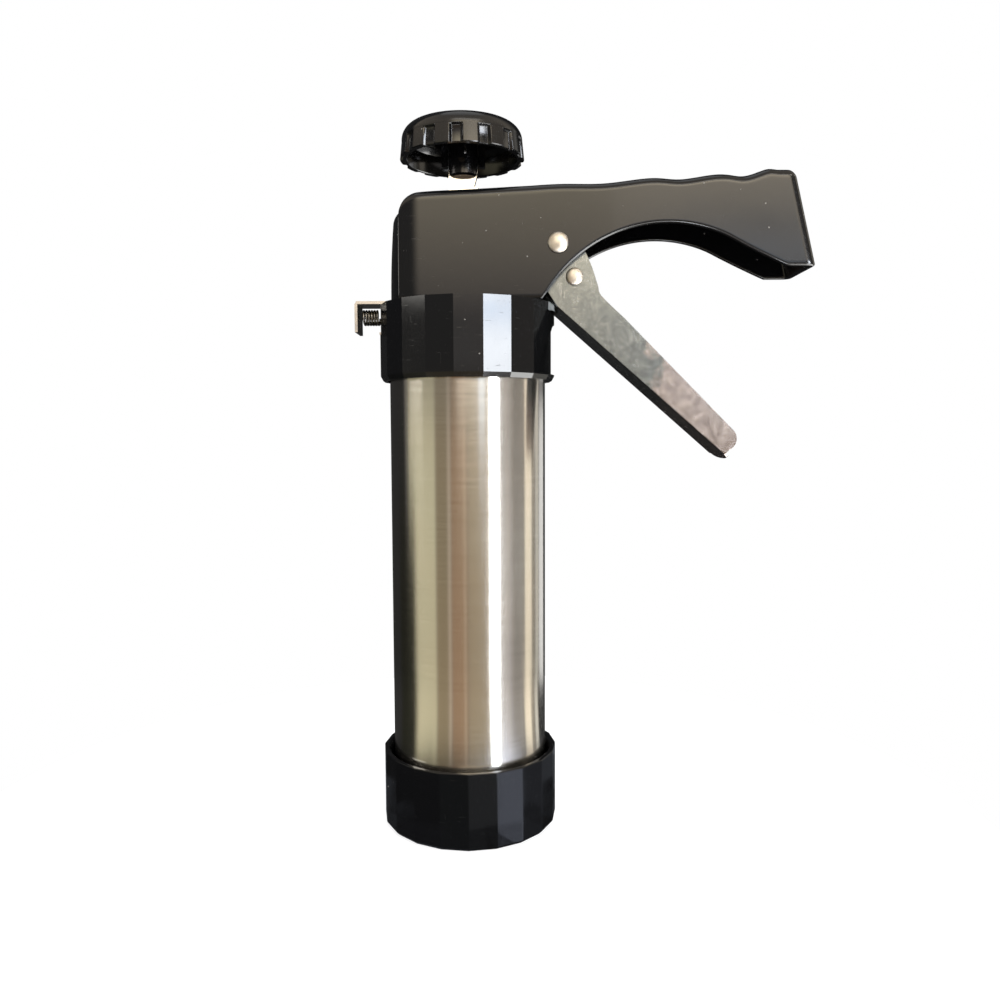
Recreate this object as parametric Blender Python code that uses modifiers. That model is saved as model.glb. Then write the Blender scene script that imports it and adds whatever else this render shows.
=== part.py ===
"""Cookie press with a ratchet rod, built as the separate pieces it comes apart into.

Metres, +Z up. The press stands on its end cap: z = 0 is the underside of the cap and the
barrel's axis is vertical. X runs along the handle, with the handle at +X and the release tab
at -X. The origin lies under the middle of the whole press, at the height of the cap's underside.
"""
import bpy
import bmesh
import numpy as np
from math import atan2, cos, pi, radians, sin, sqrt, tan

# Gaps between pieces
CLEAR = 0.0003
RUN = 0.0002
OVERRUN = 0.0020
WELD = 0.000005

# Barrel, a drawn steel tube with a rolled bead at each end
BARREL_OD = 0.0500
BARREL_SHEET = 0.0006
BARREL_LENGTH = 0.1534
BEAD_HEIGHT = 0.00045
BEAD_WIDTH = 0.0030
BEAD_INSET = 0.0065
BARREL_STEPS = 60

# End cap, a faceted ring with a floor round the mouth
CAP_WALL = 0.00269
CAP_HEIGHT = 0.0245
CAP_FLOOR = 0.0030
CAP_MOUTH_RADIUS = 0.0200
CAP_CHAMFER = 0.0012
CAP_LIP = 0.0010
CAP_LIP_DEPTH = 0.0015
THREAD_ROOM = 0.0003
FACETS = 20
CAP_TURN_DEG = 0.6

# Pattern disc that lies on the cap's floor
DISC_SHEET = 0.0010
PETALS = 8
PETAL_LENGTH = 0.0065
PETAL_WIDTH = 0.0030
PETAL_RING = 0.0115
PETAL_STEPS = 10
DISC_CENTRE_HOLE = 0.0025

# Collar, the faceted ring that joins the barrel to the head
COLLAR_WALL = 0.00225
COLLAR_HEIGHT = 0.0240
COLLAR_GRIP = 0.0142
COLLAR_TOP_PLATE = 0.0024
COLLAR_CHAMFER = 0.0015
COLLAR_CHAMFER_IN = 0.0008
COLLAR_TURN_DEG = 11.6
SHOULDER_WIDTH = 0.0020
NOTCH_DEPTH = 0.0020
NOTCH_HALF_WIDTH = 0.0065
NOTCH_HEIGHT = 0.0094
ARCH_DEPTH = 0.0011
ARCH_HALF_WIDTH = 0.0161
ARCH_HEIGHT = 0.0160
ARCH_FOOT = 0.0019
BORE_STEPS = 48

# Head, the hollow housing whose right side is the handle
HEAD_HALF = 0.0140
HEAD_WALL = 0.0020
HEAD_HEIGHT = 0.0384
HEAD_END_RADIUS = 0.0243
HEAD_END_DRAFT = 0.0018
HEAD_FILLET = 0.0020
HEAD_CORNER_RISE = 0.0050
HANDLE_REACH = 0.1081
TIP_WIDTH = 0.0092
TIP_LEAN = 0.0067
TIP_HALF = 0.0130
TAPER_START = 0.0450
GRIP_ARC_RADIUS = 0.0438
GRIP_ARC_X = 0.0623
GRIP_ARC_DROP = 0.0208
GRIP_SLOPE_DEG = 26.0
GRIP_STEPS = 22
TOP_LINE_SHARES = [(-0.159, 0.846), (-0.099, 0.862), (0.043, 0.880), (0.164, 0.898), (0.268, 0.909),
                   (0.392, 0.904), (0.522, 0.938), (0.611, 0.927), (0.716, 0.966), (0.802, 0.951),
                   (0.870, 0.985), (0.904, 1.000), (0.938, 0.990)]
PIVOT_OUTSET = 0.0004
PIVOT_RISE = 0.0170
PIVOT_BOSS_RADIUS = 0.0050
PIVOT_BOSS_HEIGHT = 0.0013

# Screws that hold the head on the collar
SCREW_RADIUS = 0.0014
SCREW_HEAD_RADIUS = 0.0026
SCREW_HEAD_HEIGHT = 0.0016
SCREW_LENGTH = 0.0100
SCREW_BOSS_RADIUS = 0.0030
SCREW_BOSS_HEIGHT = 0.0120
SCREW_BACK_INSET = 0.00765
SCREW_FRONT_INSET = 0.0060
SCREW_OFFSET_Y = 0.0095

# Ratchet rod and the gap it stands off the barrel's axis
ROD_OFFSET = -0.0009
ROD_WIDTH = 0.0094
ROD_THICKNESS = 0.0030
TOOTH_PITCH = 0.0050
TOOTH_DEPTH = 0.0014
TOOTH_MARGIN = 0.0100
TOOTH_START = 0.0080
ROD_PIN_RADIUS = 0.0012

# Knob on the rod
KNOB_RADIUS = 0.01975
KNOB_LIFT = 0.0110
KNOB_HEIGHT = 0.0124
KNOB_WALL = 0.0024
KNOB_TAPER = 0.0006
KNOB_FILLET = 0.0050
KNOB_DOME = 0.0012
KNOB_HUB_RADIUS = 0.0072
KNOB_HUB_DROP = 0.0053
KNOB_NOTCHES = 14
KNOB_NOTCH_WIDTH = 0.0036
KNOB_NOTCH_DEPTH = 0.0010
KNOB_NOTCH_HEIGHT = 0.0056
KNOB_TURN_DEG = -3.0
KNOB_STEPS = 56
KNOB_LEAN = -0.0004

# Piston at the rod's foot
PISTON_PLATE_THICKNESS = 0.0026
PISTON_PLATE_INSET = 0.0006
SEAL_HEIGHT = 0.0040
SEAL_LIP = 0.0008
HUB_FLANGE_RADIUS = 0.0090
HUB_NECK_RADIUS = 0.0070
HUB_NECK_HEIGHT = 0.0090
BACKING_INSET = 0.0030
BACKING_SHEET = 0.0010
PISTON_SCREW_RADIUS = 0.0020
PISTON_SCREW_HEAD = 0.0042
PISTON_SCREW_HEAD_HEIGHT = 0.0013
PISTON_SCREW_LENGTH = 0.0048

# Trigger lever, a channel of sheet steel, measured from its pivot along its own length
LEVER_HALF = 0.0104
LEVER_SHEET = 0.0009
LEVER_ANGLE_DEG = -47.0
LEVER_REACH = 0.0835
LEVER_ROOT = 0.0135
LEVER_ROOT_DEPTH = 0.0127
LEVER_TIP_DEPTH = 0.0056
LEVER_TIP_RISE = 0.0014
LEVER_TIP_RADIUS = 0.0038
LEVER_EAR_RADIUS = 0.0070
LEVER_HEAD_RISE = 0.0046
LEVER_NECK = 0.0208
LEVER_STRAIGHT = 0.0305
LEVER_HEAD_SHARES = [(1.0, -0.12), (0.84, 0.18), (0.60, 0.68), (0.40, 1.0)]
LEVER_HEEL_SHARE = 0.62
LEVER_CLEAR_COLLAR = 0.0010
LINK_ALONG = 0.0106
LINK_DROP = 0.0027

# Rivets
RIVET_RADIUS = 0.0020
RIVET_HEAD_RADIUS = 0.00315
RIVET_HEAD_HEIGHT = 0.0016
LINK_RIVET_RADIUS = 0.0017
LINK_RIVET_HEAD_RADIUS = 0.0027
LINK_RIVET_HEAD_HEIGHT = 0.0012
SPACER_WALL = 0.0013

# Drive arm and its pawl, inside the lever
ARM_THICKNESS = 0.0030
ARM_LENGTH = 0.0175
ARM_RISE_DEG = 14.0
ARM_ROOT_RADIUS = 0.0055
ARM_NOSE_RADIUS = 0.0030
PAWL_PIN_RADIUS = 0.0012
PAWL_EAR_RADIUS = 0.0026
PAWL_EAR_THICKNESS = 0.0015
PAWL_TIP_RADIUS = 0.0006
PAWL_TIP_DROP = 0.0012
PAWL_PIN_HEAD = 0.0006
LEAF_SHEET = 0.0004

# Spring that brings the lever back
LEVER_SPRING_WIRE = 0.0010
LEVER_SPRING_TURNS = 3.0
LEVER_SPRING_PITCH = 0.0016
LEVER_SPRING_LEG_LONG = 0.0190
LEVER_SPRING_LEG_SHORT = 0.0120
LEVER_SPRING_ANGLE_DEG = 30.0
COIL_POINTS = 9

# Release plate, its spring and the seat behind the spring
RELEASE_SHEET = 0.0009
RELEASE_HALF = 0.0055
RELEASE_TRAVEL = 0.0025
RELEASE_STANDOFF = 0.0075
RELEASE_TAB_DROP = 0.0097
RELEASE_BAR = 0.0045
RELEASE_SPRING_WIRE = 0.00055
RELEASE_SPRING_RADIUS = 0.00225
RELEASE_SPRING_TURNS = 6.0
SEAT_SHEET = 0.0007
SEAT_HALF = 0.0040
SEAT_HEIGHT = 0.0086
SEAT_FOOT = 0.0016

# Heights and radii that follow from the sizes above
BARREL_RADIUS = BARREL_OD / 2
BORE_RADIUS = BARREL_RADIUS - BARREL_SHEET
BEAD_RADIUS = BARREL_RADIUS + BEAD_HEIGHT
SOCKET_RADIUS = BEAD_RADIUS + THREAD_ROOM
CAP_RADIUS = SOCKET_RADIUS + CAP_WALL
COLLAR_RADIUS = SOCKET_RADIUS + COLLAR_WALL
SHOULDER_RADIUS = SOCKET_RADIUS - SHOULDER_WIDTH
PIVOT_X = COLLAR_RADIUS + PIVOT_OUTSET
RELEASE_REACH = COLLAR_RADIUS + RELEASE_STANDOFF
DISC_FLOOR_Z = CAP_FLOOR + CLEAR
DISC_TOP_Z = DISC_FLOOR_Z + DISC_SHEET
BARREL_FOOT_Z = DISC_TOP_Z + CLEAR
BARREL_TOP_Z = BARREL_FOOT_Z + BARREL_LENGTH
SHOULDER_Z = BARREL_TOP_Z + CLEAR
COLLAR_FOOT_Z = SHOULDER_Z - COLLAR_GRIP
COLLAR_TOP_Z = COLLAR_FOOT_Z + COLLAR_HEIGHT
HEAD_BASE_Z = COLLAR_TOP_Z + CLEAR
HEAD_TOP_Z = HEAD_BASE_Z + HEAD_HEIGHT
PIVOT_Z = HEAD_BASE_Z + PIVOT_RISE
SHIFT = (HANDLE_REACH - RELEASE_REACH) / 2
KNOB_RIM_Z = HEAD_BASE_Z + HEAD_HEIGHT * TOP_LINE_SHARES[3][1] + KNOB_LIFT
KNOB_HUB_Z = KNOB_RIM_Z - KNOB_HUB_DROP
HUB_EDGE_SHARE = (ROD_OFFSET + KNOB_LEAN + KNOB_HUB_RADIUS) / HANDLE_REACH
HUB_SEAT_SHARE = float(np.interp(HUB_EDGE_SHARE, *zip(*TOP_LINE_SHARES)))
KNOB_DROP = KNOB_HUB_Z - (HEAD_BASE_Z + HEAD_HEIGHT * HUB_SEAT_SHARE) - 2 * CLEAR
PISTON_Z = DISC_TOP_Z + CLEAR + KNOB_DROP
SEAL_Z = PISTON_Z + PISTON_PLATE_THICKNESS + CLEAR
SEAL_RADIUS = BORE_RADIUS - abs(ROD_OFFSET) - CLEAR
ROD_FOOT_Z = SEAL_Z + SEAL_HEIGHT + CLEAR + BACKING_SHEET
ROD_TOP_Z = KNOB_RIM_Z + KNOB_HEIGHT - KNOB_WALL - CLEAR
ROD_EDGE_X = ROD_OFFSET + ROD_WIDTH / 2
FIRST_TOOTH_Z = ROD_FOOT_Z + HUB_NECK_HEIGHT + TOOTH_START
TOOTH_COUNT = int((ROD_TOP_Z - TOOTH_MARGIN - FIRST_TOOTH_Z) / TOOTH_PITCH)

STEEL = ((0.62, 0.60, 0.56, 1.0), 0.32, 1.0)
PLATED = ((0.72, 0.69, 0.62, 1.0), 0.25, 1.0)
BLACK = ((0.018, 0.018, 0.020, 1.0), 0.18, 0.0)
SILICONE = ((0.72, 0.73, 0.72, 1.0), 0.55, 0.0)
SPRING_STEEL = ((0.30, 0.30, 0.30, 1.0), 0.35, 1.0)


def clear_scene():
    """Removes what a new file holds and makes the two collections."""
    for item in list(bpy.data.objects):
        bpy.data.objects.remove(item)
    for name in ("cookie_press", "cutters"):
        group = bpy.data.collections.new(name)
        bpy.context.scene.collection.children.link(group)


def finish_material(name, look):
    """One Principled material from a colour, a roughness and a metallic value."""
    made = bpy.data.materials.new(name)
    made.use_nodes = True
    shader = made.node_tree.nodes["Principled BSDF"]
    shader.inputs["Base Color"].default_value = look[0]
    shader.inputs["Roughness"].default_value = look[1]
    shader.inputs["Metallic"].default_value = look[2]
    made.diffuse_color = look[0]
    return made


def empty_at(name, x, z, parent=None):
    """An empty on a joint's axis, in the press's own plane."""
    empty = bpy.data.objects.new(name, None)
    bpy.data.collections["cookie_press"].objects.link(empty)
    empty.parent = parent
    empty.location = (x, 0, z)
    return empty


def add_piece(name, mesh, look, parent, location=(0, 0, 0), rotation=(0, 0, 0)):
    """A named piece with its own material, or a cutter where look is None."""
    piece = bpy.data.objects.new(name, mesh)
    group = "cutters" if look is None else "cookie_press"
    bpy.data.collections[group].objects.link(piece)
    piece.parent = parent
    piece.location = location
    piece.rotation_euler = rotation
    if look is None:
        piece.hide_render = True
        piece.display_type = "WIRE"
    else:
        mesh.materials.clear()
        mesh.materials.append(finish_material(name, look))
        mesh.shade_smooth()
        mesh.set_sharp_from_angle(angle=radians(30))
    return piece


def settled_mesh(piece):
    """The evaluated mesh of an object, with its loose caps welded."""
    bpy.context.view_layer.update()
    graph = bpy.context.evaluated_depsgraph_get()
    mesh = bpy.data.meshes.new_from_object(piece.evaluated_get(graph))
    work = bmesh.new()
    work.from_mesh(mesh)
    bmesh.ops.remove_doubles(work, verts=work.verts, dist=WELD)
    work.to_mesh(mesh)
    work.free()
    return mesh


def outline_mesh(loops, half):
    """A flat closed outline, with holes, as thick as twice half, made from a filled curve."""
    curve = bpy.data.curves.new("outline", "CURVE")
    curve.dimensions = "2D"
    curve.fill_mode = "BOTH"
    curve.extrude = half
    for loop in loops:
        spline = curve.splines.new("POLY")
        spline.points.add(len(loop) - 1)
        for point, place in zip(spline.points, loop):
            point.co = (place[0], place[1], 0, 1)
        spline.use_cyclic_u = True
    drawn = bpy.data.objects.new("outline", curve)
    bpy.context.scene.collection.objects.link(drawn)
    mesh = settled_mesh(drawn)
    bpy.data.objects.remove(drawn)
    return mesh


def upright_plate(name, loops, half, look, parent, location=(0, 0, 0)):
    """A flat piece that stands in the XZ plane; its outline is given as x and z."""
    return add_piece(name, outline_mesh(loops, half), look, parent, location, (pi / 2, 0, 0))


def turned(name, profile, steps, look, parent, location=(0, 0, 0), rotation=(0, 0, 0), closed=True):
    """A profile of radius and height, run down its outer side, screwed once round its axis."""
    mesh = bpy.data.meshes.new(name)
    count = len(profile)
    edges = [(i, i + 1) for i in range(count - 1)]
    if closed:
        edges.append((count - 1, 0))
    mesh.from_pydata([(r, 0, z) for r, z in profile], edges, [])
    piece = add_piece(name, mesh, look, parent, location, rotation)
    screw = piece.modifiers.new("turn", "SCREW")
    screw.steps = steps
    screw.render_steps = steps
    screw.use_merge_vertices = True
    screw.merge_threshold = WELD
    screw.use_smooth_shade = True
    return piece


def cylinder(name, radius, low, high, steps, look, parent, x=0.0, y=0.0):
    """A vertical cylinder between two heights."""
    work = bmesh.new()
    bmesh.ops.create_cone(work, cap_ends=True, segments=steps, radius1=radius, radius2=radius,
                          depth=high - low)
    mesh = bpy.data.meshes.new(name)
    work.to_mesh(mesh)
    work.free()
    return add_piece(name, mesh, look, parent, (x, y, (low + high) / 2))


def cross_cylinder(name, radius, half, steps, look, parent, x, z, y=0.0):
    """A cylinder along Y, as long as twice half."""
    piece = cylinder(name, radius, -half, half, steps, look, parent)
    piece.location = (x, y, z)
    piece.rotation_euler = (pi / 2, 0, 0)
    return piece


def block(name, low, high, look, parent):
    """A box between two corners."""
    work = bmesh.new()
    bmesh.ops.create_cube(work, size=1)
    size = [b - a for a, b in zip(low, high)]
    bmesh.ops.scale(work, vec=size, verts=work.verts)
    mesh = bpy.data.meshes.new(name)
    work.to_mesh(mesh)
    work.free()
    return add_piece(name, mesh, look, parent, [(a + b) / 2 for a, b in zip(low, high)])


def combine(piece, other, operation):
    """A Boolean of one piece with another."""
    step = piece.modifiers.new(other.name, "BOOLEAN")
    step.object = other
    step.operation = operation
    step.solver = "EXACT"
    return step


def ring_points(radius, steps, x=0.0, z=0.0, start=0.0, sweep=2 * pi):
    """Points on a circle or, with a smaller sweep, on an arc with both its ends."""
    whole = abs(sweep) > 1.999 * pi
    count = steps if whole else steps + 1
    angles = start + sweep * np.arange(count) / steps
    return [(x + radius * cos(a), z + radius * sin(a)) for a in angles]


def hull(points):
    """The convex outline round some points, counter-clockwise."""
    ordered = sorted(set(points))
    sides = []
    for run in (ordered, ordered[::-1]):
        side = []
        for p in run:
            while len(side) > 1 and crossing(side[-2], side[-1], p) <= 0:
                side.pop()
            side.append(p)
        sides += side[:-1]
    return sides


def crossing(a, b, c):
    """Twice the signed area of a triangle."""
    return (b[0] - a[0]) * (c[1] - a[1]) - (b[1] - a[1]) * (c[0] - a[0])


def smooth_line(points, between):
    """A curve through the points, with a few points added between each two."""
    p = np.array([points[0]] + list(points) + [points[-1]])
    line = []
    for i in range(1, len(p) - 2):
        for k in range(between):
            t = k / between
            line.append(tuple(0.5 * (2 * p[i] + (p[i + 1] - p[i - 1]) * t
                                     + (2 * p[i - 1] - 5 * p[i] + 4 * p[i + 1] - p[i + 2]) * t ** 2
                                     + (3 * p[i] - p[i - 1] - 3 * p[i + 1] + p[i + 2]) * t ** 3)))
    line.append(tuple(p[-1]))
    return line


def wire(name, points, radius, parent, location=(0, 0, 0)):
    """A round wire along the points, as one closed tube."""
    curve = bpy.data.curves.new(name, "CURVE")
    curve.dimensions = "3D"
    curve.bevel_depth = radius
    curve.bevel_resolution = 1
    curve.use_fill_caps = True
    spline = curve.splines.new("POLY")
    spline.points.add(len(points) - 1)
    for point, place in zip(spline.points, points):
        point.co = (place[0], place[1], place[2], 1)
    drawn = bpy.data.objects.new(name + "_path", curve)
    bpy.context.scene.collection.objects.link(drawn)
    mesh = settled_mesh(drawn)
    bpy.data.objects.remove(drawn)
    return add_piece(name, mesh, SPRING_STEEL, parent, location)


def least_gap(points, radius, skip):
    """The smallest space between turns of a wire, measured between its points."""
    p = np.array(points)
    apart = np.linalg.norm(p[:, None] - p[None], axis=2)
    index = np.arange(len(p))
    apart[np.abs(index[:, None] - index[None]) < skip] = np.inf
    return apart.min() - 2 * radius


def rivet_profile(shaft, half, head, rise):
    """Half section of a rivet with a low dome at both ends, centred on its length."""
    dome = [(head * cos(a), half + rise * sin(a)) for a in np.linspace(pi / 2, 0, 5)]
    dome[0] = (0, half + rise)
    foot = [(r, -z) for r, z in reversed(dome)]
    return dome + [(shaft, half), (shaft, -half)] + foot


def build_barrel(root):
    """The thin tube; the bead near each end stands for its rolled thread."""
    def wall(radius):
        low = BARREL_FOOT_Z + BEAD_INSET
        high = BARREL_TOP_Z - BEAD_INSET
        line = [(radius, BARREL_TOP_Z)]
        for middle in (high, low):
            line += [(radius, middle + BEAD_WIDTH / 2), (radius + BEAD_HEIGHT, middle),
                     (radius, middle - BEAD_WIDTH / 2)]
        return line + [(radius, BARREL_FOOT_Z)]
    profile = wall(BARREL_RADIUS) + wall(BORE_RADIUS)[::-1]
    turned("barrel", profile, BARREL_STEPS, STEEL, root)


def build_cap(cap_empty):
    """The end cap, with its floor round the mouth, in the cap's own empty."""
    profile = [(0, CAP_HEIGHT), (CAP_RADIUS, CAP_HEIGHT), (CAP_RADIUS, CAP_CHAMFER),
               (CAP_RADIUS - CAP_CHAMFER, 0), (0, 0)]
    cap = turned("end_cap", profile, FACETS, BLACK, cap_empty, closed=False,
                 rotation=(0, 0, radians(CAP_TURN_DEG)))
    bore = [(0, CAP_HEIGHT + OVERRUN), (SOCKET_RADIUS + CAP_LIP + OVERRUN, CAP_HEIGHT + OVERRUN),
            (SOCKET_RADIUS + CAP_LIP, CAP_HEIGHT), (SOCKET_RADIUS, CAP_HEIGHT - CAP_LIP_DEPTH),
            (SOCKET_RADIUS, CAP_FLOOR), (CAP_MOUTH_RADIUS, CAP_FLOOR),
            (CAP_MOUTH_RADIUS, -OVERRUN), (0, -OVERRUN)]
    combine(cap, turned("cap_bore", bore, BORE_STEPS, None, cap_empty, closed=False), "DIFFERENCE")


def build_disc(disc_empty):
    """The pattern disc: a round plate with a ring of petals and a hole at its centre."""
    rim = ring_points(SOCKET_RADIUS - THREAD_ROOM, BORE_STEPS)
    holes = [ring_points(DISC_CENTRE_HOLE, PETAL_STEPS)]
    for k in range(PETALS):
        turn = 2 * pi * k / PETALS
        petal = []
        for a in 2 * pi * np.arange(PETAL_STEPS) / PETAL_STEPS:
            along = PETAL_RING + PETAL_LENGTH / 2 * cos(a)
            across = PETAL_WIDTH / 2 * sin(a) * along / PETAL_RING
            petal.append((along * cos(turn) - across * sin(turn), along * sin(turn) + across * cos(turn)))
        holes.append(petal)
    mesh = outline_mesh([rim] + holes, DISC_SHEET / 2)
    add_piece("pattern_disc", mesh, STEEL, disc_empty, (0, 0, (DISC_FLOOR_Z + DISC_TOP_Z) / 2))


def screw_places():
    """The four screws between the collar and the head, set in from the collar's shoulder."""
    back = -sqrt((SHOULDER_RADIUS - SCREW_BACK_INSET) ** 2 - SCREW_OFFSET_Y ** 2)
    front = sqrt((SHOULDER_RADIUS - SCREW_FRONT_INSET) ** 2 - SCREW_OFFSET_Y ** 2)
    return [(x, y) for x in (back, front) for y in (-SCREW_OFFSET_Y, SCREW_OFFSET_Y)]


def rod_slot(name, low, high, parent):
    """A cutter for the slot that the flat rod slides through."""
    return block(name, (ROD_OFFSET - ROD_WIDTH / 2 - CLEAR, -ROD_THICKNESS / 2 - CLEAR, low),
                 (ROD_EDGE_X + CLEAR, ROD_THICKNESS / 2 + CLEAR, high), None, parent)


def build_collar(root):
    """The faceted ring: socket for the barrel below, a plate under the head above."""
    profile = [(0, COLLAR_TOP_Z), (COLLAR_RADIUS, COLLAR_TOP_Z),
               (COLLAR_RADIUS, COLLAR_FOOT_Z + COLLAR_CHAMFER),
               (COLLAR_RADIUS - COLLAR_CHAMFER_IN, COLLAR_FOOT_Z), (0, COLLAR_FOOT_Z)]
    collar = turned("barrel_collar", profile, FACETS, BLACK, root, closed=False,
                    rotation=(0, 0, radians(COLLAR_TURN_DEG)))
    ceiling = COLLAR_TOP_Z - COLLAR_TOP_PLATE
    bore = [(0, ceiling), (SHOULDER_RADIUS, ceiling), (SHOULDER_RADIUS, SHOULDER_Z),
            (SOCKET_RADIUS, SHOULDER_Z), (SOCKET_RADIUS, COLLAR_FOOT_Z - OVERRUN),
            (0, COLLAR_FOOT_Z - OVERRUN)]
    combine(collar, turned("collar_bore", bore, BORE_STEPS, None, root, closed=False), "DIFFERENCE")
    combine(collar, rod_slot("collar_rod_slot", ceiling - OVERRUN, COLLAR_TOP_Z + OVERRUN, root),
            "DIFFERENCE")
    notch = block("collar_notch",
                  (-COLLAR_RADIUS - OVERRUN, -NOTCH_HALF_WIDTH, COLLAR_TOP_Z - NOTCH_HEIGHT),
                  (-COLLAR_RADIUS + NOTCH_DEPTH, NOTCH_HALF_WIDTH, COLLAR_TOP_Z + OVERRUN), None, root)
    combine(collar, notch, "DIFFERENCE")
    arch = [(ARCH_HALF_WIDTH * cos(a), ARCH_HEIGHT * sin(a)) for a in np.linspace(0, pi, 13)]
    recess = add_piece("collar_arch", outline_mesh([arch], COLLAR_RADIUS / 2), None, root,
                       (COLLAR_RADIUS, 0, COLLAR_FOOT_Z + ARCH_FOOT), (pi / 2, 0, pi / 2))
    inner = cylinder("collar_arch_inner", COLLAR_RADIUS - ARCH_DEPTH, COLLAR_FOOT_Z - OVERRUN,
                     COLLAR_TOP_Z + OVERRUN, BORE_STEPS, None, root)
    combine(recess, inner, "DIFFERENCE")
    combine(collar, recess, "DIFFERENCE")
    for k, (x, y) in enumerate(screw_places()):
        hole = cylinder("collar_screw_hole_%d" % k, SCREW_RADIUS + RUN, ceiling - OVERRUN,
                        COLLAR_TOP_Z + OVERRUN, 12, None, root, x, y)
        combine(collar, hole, "DIFFERENCE")


def top_line(drop, inset):
    """The head's top line, lowered by drop and drawn in at both ends by inset."""
    shares = smooth_line(TOP_LINE_SHARES, 2)
    line = [(HANDLE_REACH * sx, HEAD_BASE_Z + HEAD_HEIGHT * sz - drop) for sx, sz in shares]
    left = -HEAD_END_RADIUS + HEAD_END_DRAFT + inset
    right = HANDLE_REACH - TIP_LEAN - inset
    kept = [(x, z) for x, z in line if left + HEAD_CORNER_RISE <= x < right]
    end_z = kept[-1][1]
    return [(left, kept[0][1] - HEAD_CORNER_RISE)] + kept + [(right, end_z)]


def head_outline():
    """Side view of the head: base, left end, top line, tip and the arc under the handle."""
    tip_z = grip_line_z(HANDLE_REACH - TIP_WIDTH)
    base_x = GRIP_ARC_X - sqrt(GRIP_ARC_RADIUS ** 2 - GRIP_ARC_DROP ** 2)
    start = pi / 2 - radians(GRIP_SLOPE_DEG)
    end = atan2(GRIP_ARC_DROP, base_x - GRIP_ARC_X)
    arc = ring_points(GRIP_ARC_RADIUS, GRIP_STEPS, GRIP_ARC_X, HEAD_BASE_Z - GRIP_ARC_DROP, start,
                      end - start)
    foot = [(HANDLE_REACH, tip_z), (HANDLE_REACH - TIP_WIDTH, tip_z)]
    return [(-HEAD_END_RADIUS, HEAD_BASE_Z)] + top_line(0, 0) + foot + arc


def grip_line_z(x):
    """Height of the straight run under the handle, which leaves the arc at the grip's slope."""
    slope = radians(GRIP_SLOPE_DEG)
    start_x = GRIP_ARC_X + GRIP_ARC_RADIUS * sin(slope)
    start_z = HEAD_BASE_Z - GRIP_ARC_DROP + GRIP_ARC_RADIUS * cos(slope)
    return start_z - (x - start_x) * tan(slope)


def plan_mesh(radius, half, low, high):
    """Plan of the head: a round left end, leaning in towards the top, and flat sides."""
    left = ring_points(radius, 24, 0, 0, pi / 2 + pi / 2 - asin_share(half, radius),
                       2 * asin_share(half, radius))
    far = HANDLE_REACH + OVERRUN
    loop = left + [(far, -half), (far, half)]
    mesh = outline_mesh([loop], (high - low) / 2)
    for vert in mesh.vertices:
        if vert.co.z > 0 and vert.co.x < 0:
            vert.co.x *= (radius - HEAD_END_DRAFT) / radius
    return mesh


def asin_share(half, radius):
    """Half the angle that the round end takes before it meets the flat sides."""
    return atan2(half, sqrt(radius ** 2 - half ** 2))


def taper(mesh, half):
    """Draws the handle's sides in towards its tip."""
    for vert in mesh.vertices:
        share = max(0, (vert.co.x - TAPER_START) / (HANDLE_REACH - TAPER_START))
        vert.co.y *= 1 - share * (HEAD_HALF - TIP_HALF) / half


def head_solid(name, outline, radius, half, root):
    """The side outline, as wide as twice half, cut to the plan's round end."""
    side = upright_plate(name + "_side", [outline], half, None, root)
    low = HEAD_BASE_Z - 2 * OVERRUN
    high = HEAD_TOP_Z + OVERRUN
    mesh = plan_mesh(radius, half + CLEAR, low, high)
    plan = add_piece(name + "_plan", mesh, None, root, (0, 0, (low + high) / 2))
    combine(side, plan, "INTERSECT")
    solid = settled_mesh(side)
    solid.transform(side.matrix_local)
    bpy.data.objects.remove(side)
    bpy.data.objects.remove(plan)
    return solid


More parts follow.
